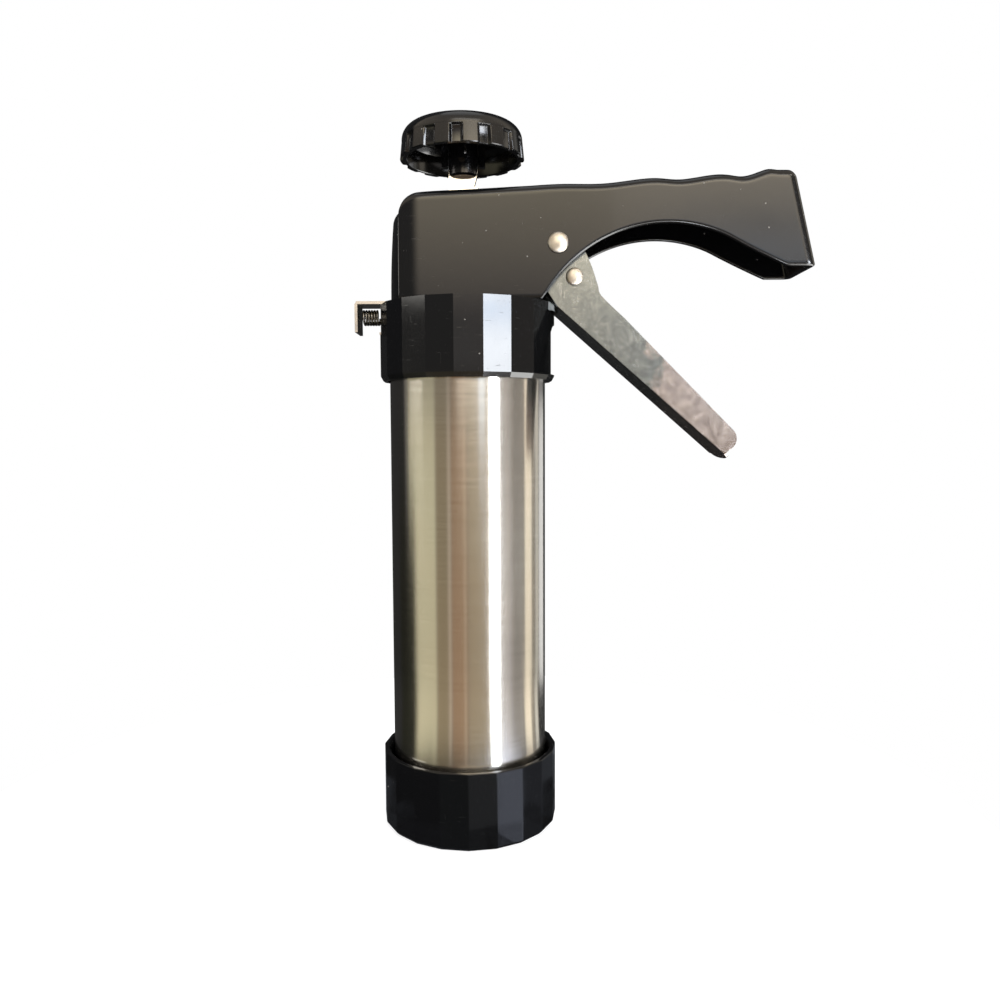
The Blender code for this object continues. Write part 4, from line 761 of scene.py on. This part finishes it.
def knob():
    """The knob: a domed profile carried round; the side sinks by the notch depth where |t| is less
    than the notch's half width, below the notch's top, with a smooth step at its walls."""
    shoulder = KNOB_RADIUS - KNOB_TAPER
    inner = shoulder - KNOB_FILLET
    lean = atan2(2 * KNOB_DOME, inner + KNOB_FILLET * 0.29)
    reach = inner + KNOB_FILLET * sin(lean)
    flat = KNOB_TOP - KNOB_DOME - KNOB_FILLET * cos(lean)
    crown = [(reach * s, KNOB_TOP - KNOB_DOME * s ** 2, 0) for s in np.linspace(0, 1, 9)]
    crown += [(inner + KNOB_FILLET * cos(a), flat + KNOB_FILLET * sin(a), 0)
              for a in np.linspace(pi / 2 - lean, 0, 12)[1:]]
    notch_top = KNOB_RIM + KNOB_NOTCH_HEIGHT
    side = [(shoulder + KNOB_TAPER * (flat - z) / (flat - KNOB_RIM), z, 0)
            for z in (flat - 0.1, notch_top + 0.2)]
    side += [(shoulder + KNOB_TAPER * (flat - z) / (flat - KNOB_RIM), z, s)
             for z, s in ((notch_top, 0.15), (notch_top - 0.2, 0.5), (notch_top - 0.4, 0.85),
                          (notch_top - 0.6, 1), (KNOB_RIM + 0.25, 1))]
    rim = [(KNOB_RADIUS - 0.25, KNOB_RIM, 1), (KNOB_RADIUS - KNOB_WALL + 0.3, KNOB_RIM, 0),
           (KNOB_RADIUS - KNOB_WALL, KNOB_RIM + 0.3, 0)]
    ceiling = KNOB_TOP - KNOB_DOME - KNOB_WALL
    inside = [(shoulder - KNOB_WALL, flat, 0), (inner + 0.6, ceiling - 0.6, 0), (inner - 0.8, ceiling, 0),
              (0, ceiling, 0)]
    profile = np.array(crown + side + rim + inside)
    edge = KNOB_NOTCH_HALF / KNOB_RADIUS
    pitch = 2 * pi / NOTCHES
    wall = np.linspace(-1, 1, 9) * KNOB_NOTCH_EDGE
    local = np.concatenate([np.linspace(-pitch / 2, -edge - 0.03, 6), wall - edge,
                            np.linspace(-edge + 0.03, edge - 0.03, 5), wall + edge,
                            np.linspace(edge + 0.03, pitch / 2, 6)[:-1]])
    sink = np.clip((edge + KNOB_NOTCH_EDGE - np.abs(local)) / (2 * KNOB_NOTCH_EDGE), 0, 1)
    sink = sink * sink * (3 - 2 * sink)
    turn = (KNOB_TURN + pitch * np.arange(NOTCHES)[:, None] + local[None, :]).ravel()
    sink = np.tile(sink, NOTCHES)
    r = profile[:, 0][:, None] - KNOB_NOTCH_DEPTH * profile[:, 2][:, None] * sink[None, :]
    z = np.broadcast_to(profile[:, 1][:, None], r.shape)
    points = np.stack([KNOB_X + r * np.cos(turn), r * np.sin(turn), z], axis=-1)
    piece = grid_piece("knob_cap", points, round_columns=True)
    foot = [(0, KNOB_HUB_FOOT), (KNOB_BOSS - 0.6, KNOB_HUB_FOOT), (KNOB_BOSS, KNOB_HUB_FOOT + 0.6),
            (KNOB_BOSS + 0.3, ceiling + 0.5), (0, ceiling + 0.5)]
    ribs = [box_cutter((ROD_X + low, -1.2, KNOB_RIM - 2.2), (ROD_X + high, 1.2, ceiling + 0.5))
            for low, high in ((-6.9, -4.4), (4.4, 6.9))]
    ribs += [box_cutter((KNOB_X - 1.0, low, KNOB_RIM - 1.0), (KNOB_X + 1.0, high, ceiling + 0.5))
             for low, high in ((-7.2, -4.0), (4.0, 7.2))]
    carve(piece, [turned("boss", foot, 48, (ROD_X, 0), False)] + ribs, "UNION")
    carve(piece, [rod_room(KNOB_HUB_FOOT - 1, ROD_TOP + CLEAR)])
    sharpen(piece, 40)
    return finish(piece, KNOB_BLACK, "plunger", "black_plastic", "plunger_knob")


# ---------------------------------------------------------------- lever, rivets and release

def lever_place(along, across):
    """A place on the lever, from its pivot: along its length, and across towards the handle."""
    c, s = cos(LEVER_ANGLE), sin(LEVER_ANGLE)
    return np.array([PIVOT[0] + along * c - across * s, PIVOT[1] + along * s + across * c])


def lever_lower(along):
    """How far the web lies below the line through the pivot."""
    share = (along - LEVER_ROOT) / (LEVER_REACH - LEVER_ROOT)
    return -(LEVER_ROOT_DEPTH + share * (LEVER_TIP_DEPTH - LEVER_ROOT_DEPTH))


def ear_outline():
    """Side view of an ear, as (along, across): the web's line, the rounded tip, the straight upper
    edge, the raised head and the round end about the pivot."""
    tip_centre = LEVER_REACH - LEVER_TIP_RADIUS
    web = LEVER_ROOT + (LEVER_REACH - LEVER_ROOT) * np.linspace(0, 1, 12)
    line = list(zip(web, lever_lower(web)))
    line += [(tip_centre + LEVER_TIP_RADIUS * cos(a), LEVER_TIP_RISE - LEVER_TIP_RADIUS * (1 - sin(a)))
             for a in np.linspace(-pi / 9, pi / 2, 12)]
    line += [(STRAIGHT + (tip_centre - STRAIGHT) * s, LEVER_TIP_RISE * s) for s in np.linspace(1, 0, 9)[1:]]
    neck = smooth_curve([(STRAIGHT, 0)] + [(NECK * a, HEAD_RISE * b) for a, b in HEAD_SHARES], 5)
    line += [tuple(p) for p in neck[1:]]
    back = LEVER_ANGLE
    line += [(EAR_RADIUS * cos(a - back), EAR_RADIUS * sin(a - back))
             for a in np.linspace(radians(20), radians(200), 22)]
    heel = LEVER_ROOT * HEEL_SHARE
    line.append((heel, lever_lower(LEVER_ROOT) + (LEVER_ROOT - heel) / 6))
    return np.array(line)


def flat_plate(name, outline, y_low, y_high, holes=()):
    """A flat plate: the loops of (x, z) places are filled with faces at y_low, and these are drawn out
    to y_high."""
    loops = [outline, *holes]
    ends = np.cumsum([0] + [len(loop) for loop in loops])
    rims = [np.stack([np.arange(a, b), np.roll(np.arange(a, b), -1)], 1) for a, b in zip(ends, ends[1:])]
    mesh = bpy.data.meshes.new(name)
    mesh.from_pydata(settle(np.insert(np.concatenate(loops), 1, y_low, axis=1)).tolist(),
                     np.concatenate(rims).tolist(), [])
    work = bmesh.new()
    work.from_mesh(mesh)
    bmesh.ops.triangle_fill(work, edges=work.edges[:], use_beauty=True, use_dissolve=False)
    inner = [edge for edge in work.edges if len(edge.link_faces) == 2]
    bmesh.ops.dissolve_limit(work, angle_limit=0.001, verts=[], edges=inner)
    raised = bmesh.ops.extrude_face_region(work, geom=list(work.faces))["geom"]
    moved = [corner for corner in raised if isinstance(corner, bmesh.types.BMVert)]
    bmesh.ops.translate(work, vec=(0, (y_high - y_low) * MM, 0), verts=moved)
    bmesh.ops.recalc_face_normals(work, faces=work.faces)
    work.to_mesh(mesh)
    work.free()
    mesh.shade_smooth()
    return put(name, mesh)


def lever_tongue():
    """The web's end lip, straight on from the web and as thick: its length at the share v of its half
    width is length (1 - |v|^2.5)^(1/2.5), for v between -1 and 1."""
    v = np.concatenate([[-1], np.linspace(-1, 1, 41), [1]])
    length = LIP_LENGTH * (1 - np.abs(v) ** 2.5) ** 0.4
    rows = []
    for lift, shares in ((0.02, np.linspace(0, 1, 5)), (LEVER_SHEET - 0.02, np.linspace(1, 0, 5))):
        for share in shares:
            along = LEVER_REACH - 1.9 + share * (1.6 + length)
            place = lever_place(along, lever_lower(along) + lift)
            rows.append(np.stack([place[0], v * LIP_HALF, place[1]], 1))
    points = np.array(rows)
    points[:, [0, -1]] = points[:, [0, -1]].mean(axis=0)
    return grid_piece("lever_tongue", points, round_rows=True)


def lever():
    """The folded lever: a solid of the ear's outline, hollowed to leave the web and two ears."""
    outline = ear_outline()
    world = np.array([lever_place(a, b) for a, b in outline])
    pivot_hole = arc_points(PIVOT, PIVOT_BORE, 0, 2 * pi, 33)[:-1]
    link_hole = arc_points(lever_place(LINK_ALONG, LINK_ACROSS), LINK_BORE, 0, 2 * pi, 25)[:-1]
    piece = flat_plate("lever_channel", world, -LEVER_HALF, LEVER_HALF, [pivot_hole, link_hole])
    start = LEVER_ROOT + 1
    far = LEVER_REACH + LEVER_TIP_RADIUS
    room = [(-LEVER_REACH / 2, -LEVER_REACH / 2), (start, -LEVER_REACH / 2),
            (start, lever_lower(start) + LEVER_SHEET), (far, lever_lower(far) + LEVER_SHEET),
            (far, LEVER_REACH), (-LEVER_REACH / 2, LEVER_REACH)]
    hollow = flat_plate("lever_room", np.array([lever_place(a, b) for a, b in room]),
                        -LEVER_HALF + LEVER_SHEET, LEVER_HALF - LEVER_SHEET)
    carve(piece, [hollow])
    carve(piece, [lever_tongue()], "UNION")
    round_edges(piece, 0.3, 40, 3)
    return finish(piece, LEVER_STEEL, "lever", "lever_steel", "trigger_lever")


def rivet(name, centre, shaft, half, head, rise, body, node_name):
    """A rivet along y: a low dome at both ends, with r = head cos(a), y = half + rise sin(a)."""
    a = np.linspace(pi / 2, 0, 12)
    dome = np.stack([head * np.cos(a), half + rise * np.sin(a) * 0.85 + rise * 0.15 * (a > 0)], 1)
    dome[0, 0] = 0
    foot = dome[::-1] * (1, -1)
    profile = np.vstack([dome, [(shaft, half), (shaft, -half)], foot])
    piece = turned(name, profile, 48, centre, False, "y", 0)
    sharpen(piece, 50)
    return finish(piece, RIVET, body, "plated_steel", node_name)


def release_spring():
    """The small coil behind the tab: y = R cos(a), z = R sin(a), while x runs evenly."""
    count = SPRING_TURNS * 28
    a = 2 * pi * SPRING_TURNS * np.arange(count + 1) / count
    stub = SPRING_WIRE
    x = SPRING_START + stub + (SPRING_END - SPRING_START - 2 * stub) * np.arange(count + 1) / count
    path = np.stack([x, SPRING_RADIUS * np.cos(a), SPRING_Z + SPRING_RADIUS * np.sin(a)], 1)
    return tube_piece("release_coil", path, SPRING_WIRE / 2, 10)


def dress_cad():
    """Gives each CAD piece that stays its own finish."""
    looks = {BRIGHT: ["ratchet_rod"], LEVER_STEEL: ["drive_arm"], WIRE: ["lever_spring", "pawl_spring"],
             WHITE: ["piston_plate", "piston_hub"], SILICONE: ["piston_seal"],
             NICKEL: ["pawl_pin", "knob_pin", "piston_pin", "piston_screw", "drive_pawl", "release_plate",
                      "spring_seat", "pivot_spacer_front", "pivot_spacer_back", "link_spacer_front",
                      "link_spacer_back", "head_screw_1", "head_screw_2", "head_screw_3", "head_screw_4",
                      "pattern_disc", "piston_backing"]}
    for look, names in looks.items():
        for name in names:
            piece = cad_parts[name]
            if not piece.material_slots:
                piece.data.materials.append(look)
            for spot in piece.material_slots:
                spot.material = look


# ---------------------------------------------------------------- floor, light and camera

# Cloths of the light tent: azimuth from the camera's side (right is more), elevation, both in degrees as
# (from, to), the glow at the lower and at the upper edge, and how softly the edges fade
TENT = {
    "grey_all_round": ((-180, 128), (-70, 75), (0.1, 0.1, 0.09), (0.3, 0.28, 0.25), (6, 20)),
    "brown_high": ((-110, 110), (30, 75), (1, 0.86, 0.68), (0.6, 0.55, 0.48), (20, 10)),
    "ceiling_light": ((-16, 40), (37, 44), (4.5, 4.2, 3.8), (4.5, 4.2, 3.8), (16, 3)),
    "dark_left": ((-185, -103), (-70, 75), (0.015, 0.015, 0.015), (0.05, 0.05, 0.05), (4, 10)),
    "left_light": ((-92, -68), (11.5, 18), (6, 5.8, 5.4), (6, 5.8, 5.4), (3, 1.5)),
    "olive_left": ((-95, -46), (-70, 3.5), (0.15, 0.14, 0.085), (0.88, 0.82, 0.57), (7, 3)),
    "dark_left_low": ((-120, -83), (-70, -5), (0.015, 0.018, 0.01), (0.02, 0.02, 0.015), (14, 9)),
    "brown_left": ((-46, -28), (-70, 4), (0.24, 0.2, 0.12), (0.36, 0.29, 0.19), (4, 4)),
    "brown_left_line": ((-28, -24), (-70, 4), (0.3, 0.24, 0.17), (0.78, 0.65, 0.5), (4, 4)),
    "pink_middle": ((-23, 0), (-70, 4), (0.21, 0.13, 0.07), (0.46, 0.31, 0.2), (4, 4)),
    "pink_line": ((-5, -2.5), (-70, 4), (0.34, 0.26, 0.17), (0.66, 0.52, 0.37), (2, 4)),
    "beige_middle": ((1, 32), (-70, 4), (0.27, 0.2, 0.115), (0.44, 0.36, 0.25), (4, 4)),
    "grey_front": ((-14, 32), (5, 10), (0.8, 0.75, 0.71), (0.66, 0.61, 0.57), (6, 2.5)),
    "brown_above": ((-14, 34), (10.2, 34), (1.05, 0.92, 0.86), (6.3, 5.5, 3.9), (15, 2)),
    "brown_above_right": ((11, 34), (12.9, 34), (2.3, 2.05, 1.75), (8, 7, 5.4), (10, 1.6)),
    "grey_above_right": ((9, 16.5), (9, 12.2), (1.1, 1.15, 1.2), (1.5, 1.5, 1.5), (4, 1.6)),
    "grey_handle": ((15, 30), (15.4, 17.2), (2, 1.95, 1.9), (2.1, 2, 1.9), (5, 1.8)),
    "blue_handle": ((17, 30), (13, 15), (2.5, 2.7, 3), (2.5, 2.7, 3), (5, 1.4)),
    "blue_corner": ((17, 26), (3, 11), (1.3, 1.5, 1.7), (2.3, 2.6, 3), (3, 3)),
    "grey_right": ((46, 88), (-70, 30), (0.8, 0.78, 0.8), (0.5, 0.45, 0.4), (4, 10)),
    "brown_right": ((66, 90), (-70, 30), (0.44, 0.42, 0.4), (0.26, 0.235, 0.205), (16, 10)),
    "cream_right": ((92, 108), (-70, 30), (0.6, 0.53, 0.4), (1.6, 1.45, 1.2), (4, 10)),
    "dark_right": ((109, 116), (-70, 1), (0.14, 0.13, 0.1), (0.4, 0.36, 0.3), (2, 4)),
    "cream_corner": ((104, 122), (3, 12), (2, 1.95, 1.85), (2, 1.95, 1.85), (4, 2)),
    "pale_right": ((118, 128), (-70, 30), (0.6, 0.58, 0.5), (0.8, 0.77, 0.7), (2, 10)),
    "window": ((34.5, 45), (-34, 13), (9, 9.5, 10), (25, 26, 27.5), (2.5, 1.5)),
    "blue_blind": ((34.5, 45), (9.7, 10.6), (9.5, 13.5, 19.5), (9.5, 13.5, 19.5), (2.5, 0.9)),
    "low_light": ((40, 128), (-62, -26), (9, 9, 8.8), (9, 9, 8.8), (10, 6)),
    "low_light_front": ((-20, 50), (-64, -40), (8, 8, 7.8), (8, 8, 7.8), (10, 6)),
}
# Velvet on the floor in front of the cap: azimuth of the flat that mirrors it, glow
VELVET = [(-360, 0, 0, 0), (-25, 0.02, 0.02, 0.02), (-8.4, 0.05, 0.06, 0.055), (9.6, 0.24, 0.25, 0.26),
          (27.6, 1.25, 1.35, 1.65), (45.6, 0.17, 0.18, 0.21), (63.6, 0.13, 0.14, 0.16), (360, 0, 0, 0)]
VELVET_GAP = 0.3
VELVET_REACH = 75.0
TENT_RADIUS = 1000.0
TENT_MIDDLE = 120.0
FLOOR_GLOW = 1.45
FLOOR_ELEVATION = -22.0
LAMPS = [("key", 9, 0.5, (0.45, -0.75, 0.75)), ("fill", 5, 0.7, (-0.85, -0.5, 0.45)),
         ("top", 7, 0.8, (0.0, 0.1, 1.1))]
CAMERA_PLACE = (10.3, -286.3, 127.2)
CAMERA_PITCH = radians(4.30)
CAMERA_ROLL = radians(-0.23)
CAMERA_FOCUS = 876


def fade(value, low, high, soft):
    """1 between low and high, 0 outside, with the smooth step 3 t^2 - 2 t^3 over soft at each side."""
    t = np.clip(np.minimum(value - low + soft / 2, high + soft / 2 - value) / soft, 0, 1)
    return t * t * (3 - 2 * t)


def glowing_cloth(name, points, colour):
    """A lit cloth that only reflections see, with a colour at each of its points."""
    mesh = bpy.data.meshes.new(name)
    mesh.from_pydata(settle(points.reshape(-1, 3)).tolist(), [],
                     grid_faces(points.shape[0], points.shape[1], False, False).tolist())
    glow = mesh.attributes.new("glow", "FLOAT_COLOR", "POINT")
    opaque = np.ones(points.shape[:2] + (1,))
    glow.data.foreach_set("color", np.concatenate([colour, opaque], -1).ravel())
    cloth = put(name, mesh)
    made = bpy.data.materials.new(name)
    made.use_nodes = True
    tree = made.node_tree
    tree.nodes.clear()
    read = node(tree, "Attribute", attribute_name="glow")
    light = node(tree, "Emission")
    tree.links.new(read.outputs["Color"], light.inputs["Color"])
    tree.links.new(light.outputs[0], node(tree, "OutputMaterial").inputs["Surface"])
    mesh.materials.append(made)
    cloth.visible_camera = cloth.visible_diffuse = cloth.visible_shadow = False
    cloth.visible_transmission = False


def tent_colour(a, e):
    """The tent's glow at azimuth a and elevation e: each cloth is mixed in by its fades."""
    colour = np.full(e.shape + (3,), 0.02)
    for (left, right), (low, high), lower, upper, (soft_a, soft_e) in TENT.values():
        share = (fade(a, left, right, soft_a) * fade(e, low, high, soft_e))[..., None]
        up = np.clip((e - low) / (high - low), 0, 1)[..., None]
        colour = colour * (1 - share) + share * (np.array(lower) * (1 - up) + np.array(upper) * up)
    return colour


def light_tent():
    """A round tent of lit cloths, a metre away, which only reflections see. It is open above, and at
    the right behind below 3 degrees, where the white surroundings show: x = R cos(e) sin(a),
    y = -R cos(e) cos(a), z = R sin(e) for azimuth a and elevation e."""
    for turn, low in ((np.linspace(-180, 130, 621), -68), (np.linspace(130, 150, 21), 3),
                      (np.linspace(150, 180, 31), -68)):
        e, a = np.meshgrid(np.linspace(low, 72, 281), turn, indexing="ij")
        colour = tent_colour(a, e)
        a, e = np.radians(a), np.radians(e)
        points = TENT_RADIUS * np.stack([np.cos(e) * np.sin(a), -np.cos(e) * np.cos(a), np.sin(e)], -1)
        glowing_cloth("light_tent", points + (0, 0, TENT_MIDDLE), colour)


def velvet():
    """A ring of velvet on the floor round the cap, with a strip for each flat. A strip starts at the
    flat's foot and runs the way that the flat mirrors the camera's view: with the camera's place c and
    the flat's normal n at its corner p, its mirror image is c - 2 ((c - p) . n) n, and the strip
    runs from p away from that image."""
    middle = CAP_TURN + pi / FLATS + 2 * pi * np.arange(FLATS) / FLATS
    normal = np.stack([np.cos(middle), np.sin(middle)], 1)[:, None]
    corner = middle[:, None] + np.array([-pi / FLATS, pi / FLATS])
    p = CAP_RADIUS * np.stack([np.cos(corner), np.sin(corner)], -1)
    c = np.array(CAMERA_PLACE[:2])
    image = c - 2 * ((c - p) * normal).sum(-1, keepdims=True) * normal
    way = (p - image) / np.linalg.norm(p - image, axis=-1, keepdims=True)
    near = np.concatenate([p + VELVET_GAP * way, np.full((FLATS, 2, 1), 0.05)], -1).reshape(-1, 3)
    far = np.concatenate([p + VELVET_REACH * way, np.full((FLATS, 2, 1), 0.05)], -1).reshape(-1, 3)
    faces = (np.degrees(middle) + 90 + 180) % 360 - 180
    glow = np.stack([np.interp(faces, [row[0] for row in VELVET], [row[k] for row in VELVET])
                     for k in (1, 2, 3)], -1)
    colour = np.repeat(glow, 2, axis=0)
    points = np.array([near, far])
    colour = np.array([colour, colour])
    points, colour = (np.concatenate([grid, grid[:, :1]], 1) for grid in (points, colour))
    glowing_cloth("velvet", points, colour)


def floor_cloth():
    """A ring on the floor that goes on with the tent's colours at FLOOR_ELEVATION for the barrel's
    foot: x = r sin(a), y = -r cos(a)."""
    turn = np.linspace(-180, 180, 361)
    colour = FLOOR_GLOW * tent_colour(turn / 0.92, np.full_like(turn, FLOOR_ELEVATION))
    a = np.radians(turn)[None, :]
    r = np.array([60.0, 176.0])[:, None]
    points = np.stack([r * np.sin(a), -r * np.cos(a), np.full((2, len(turn)), 0.03)], -1)
    glowing_cloth("floor_cloth", points, np.array([colour, colour]))


def seen_directly(tree):
    """1 for what the camera, glossy and transmission rays see, 0 for the light on the object."""
    path = node(tree, "LightPath")
    first = reckon(tree, "MAXIMUM", path.outputs["Is Camera Ray"], path.outputs["Is Glossy Ray"])
    return reckon(tree, "MAXIMUM", first, path.outputs["Is Transmission Ray"])


def pale_floor():
    """A round pale floor that glows white towards its rim, where it meets the white surroundings."""
    radius = np.array([0, 20, 40, 60, 80, 100, 120, 140, 160, 170.0])
    turn = 2 * pi * np.arange(96) / 96
    points = np.stack([radius[:, None] * np.cos(turn), radius[:, None] * np.sin(turn),
                       np.full((len(radius), 96), -0.05)], -1)
    floor = grid_piece("pale_floor", points, round_columns=True)
    if floor.data.polygons[0].normal.z < 0:
        floor.data.flip_normals()
    made, tree, shader = material("pale_floor", (0.30, 0.30, 0.30), 0.9)
    shader.inputs["Specular IOR Level"].default_value = 0.0
    place = node(tree, "TexCoord")
    centred = node(tree, "VectorMath", operation="SUBTRACT")
    centred.inputs[1].default_value = (AXIS_X * MM, 0, 0)
    tree.links.new(place.outputs["Object"], centred.inputs[0])
    distance = node(tree, "VectorMath", operation="LENGTH")
    tree.links.new(centred.outputs[0], distance.inputs[0])
    level = between(tree, distance.outputs["Value"], 0.05, 0.155, 0.80, 1.0)
    shader.inputs["Emission Color"].default_value = (1, 1, 1, 1)
    tree.links.new(reckon(tree, "MULTIPLY", level, seen_directly(tree)), shader.inputs["Emission Strength"])
    floor.data.materials.append(made)


def surroundings():
    """White where it is seen directly, and a plain soft light on the object."""
    world = bpy.data.worlds.new("studio")
    bpy.context.scene.world = world
    world.use_nodes = True
    tree = world.node_tree
    tree.nodes.clear()
    white = node(tree, "Background")
    white.inputs["Color"].default_value = (1, 1, 1, 1)
    soft = node(tree, "Background")
    soft.inputs["Color"].default_value = (0.96, 0.97, 1.0, 1)
    soft.inputs["Strength"].default_value = 0.45
    mix = node(tree, "MixShader")
    tree.links.new(seen_directly(tree), mix.inputs["Fac"])
    tree.links.new(soft.outputs[0], mix.inputs[1])
    tree.links.new(white.outputs[0], mix.inputs[2])
    tree.links.new(mix.outputs[0], node(tree, "OutputWorld").inputs["Surface"])


def lamps():
    """Three soft lamps; what shines in the press is the tent, so reflections don't see them."""
    for name, energy, size, place in LAMPS:
        lamp = bpy.data.lights.new(name, "AREA")
        lamp.energy = energy
        lamp.size = size
        held = put(name, lamp)
        held.location = place
        held.rotation_euler = (Vector((0, 0, 0.12)) - Vector(place)).to_track_quat("-Z", "Y").to_euler()
        held.visible_glossy = False


def camera():
    """The camera of the photograph: near, level with the barrel's upper part and pitched down a little."""
    data = bpy.data.cameras.new("camera")
    data.sensor_width = 36
    data.sensor_fit = "HORIZONTAL"
    data.lens = CAMERA_FOCUS * 36 / 1000
    data.clip_start = 0.01
    held = put("camera", data)
    ahead = Vector((0, cos(CAMERA_PITCH), -sin(CAMERA_PITCH)))
    right = Vector((1, 0, 0))
    up = right.cross(ahead)
    c, s = cos(CAMERA_ROLL), sin(CAMERA_ROLL)
    right, up = right * c + up * s, up * c - right * s
    turn = Matrix((right, up, -ahead)).transposed().to_4x4()
    turn.translation = (Vector(CAMERA_PLACE) + Vector((AXIS_X, 0, 0))) * MM
    held.matrix_world = turn
    bpy.context.scene.camera = held


barrel()
collar()
cap()
head()
knob()
lever()
rivet("pivot_rivet_dome", PIVOT, PIVOT_SHAFT, HEAD_HALF + CLEAR, *PIVOT_HEAD, "head", "pivot_rivet")
rivet("link_rivet_dome", lever_place(LINK_ALONG, LINK_ACROSS), LINK_SHAFT, LEVER_HALF + CLEAR, *LINK_HEAD,
      "lever", "lever_rivet")
coil = finish(release_spring(), WIRE, "head", "spring_steel", "release_spring")
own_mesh(coil)
dress_cad()
light_tent()
velvet()
floor_cloth()
pale_floor()
surroundings()
lamps()
camera()
bpy.context.scene.view_settings.view_transform = "Standard"
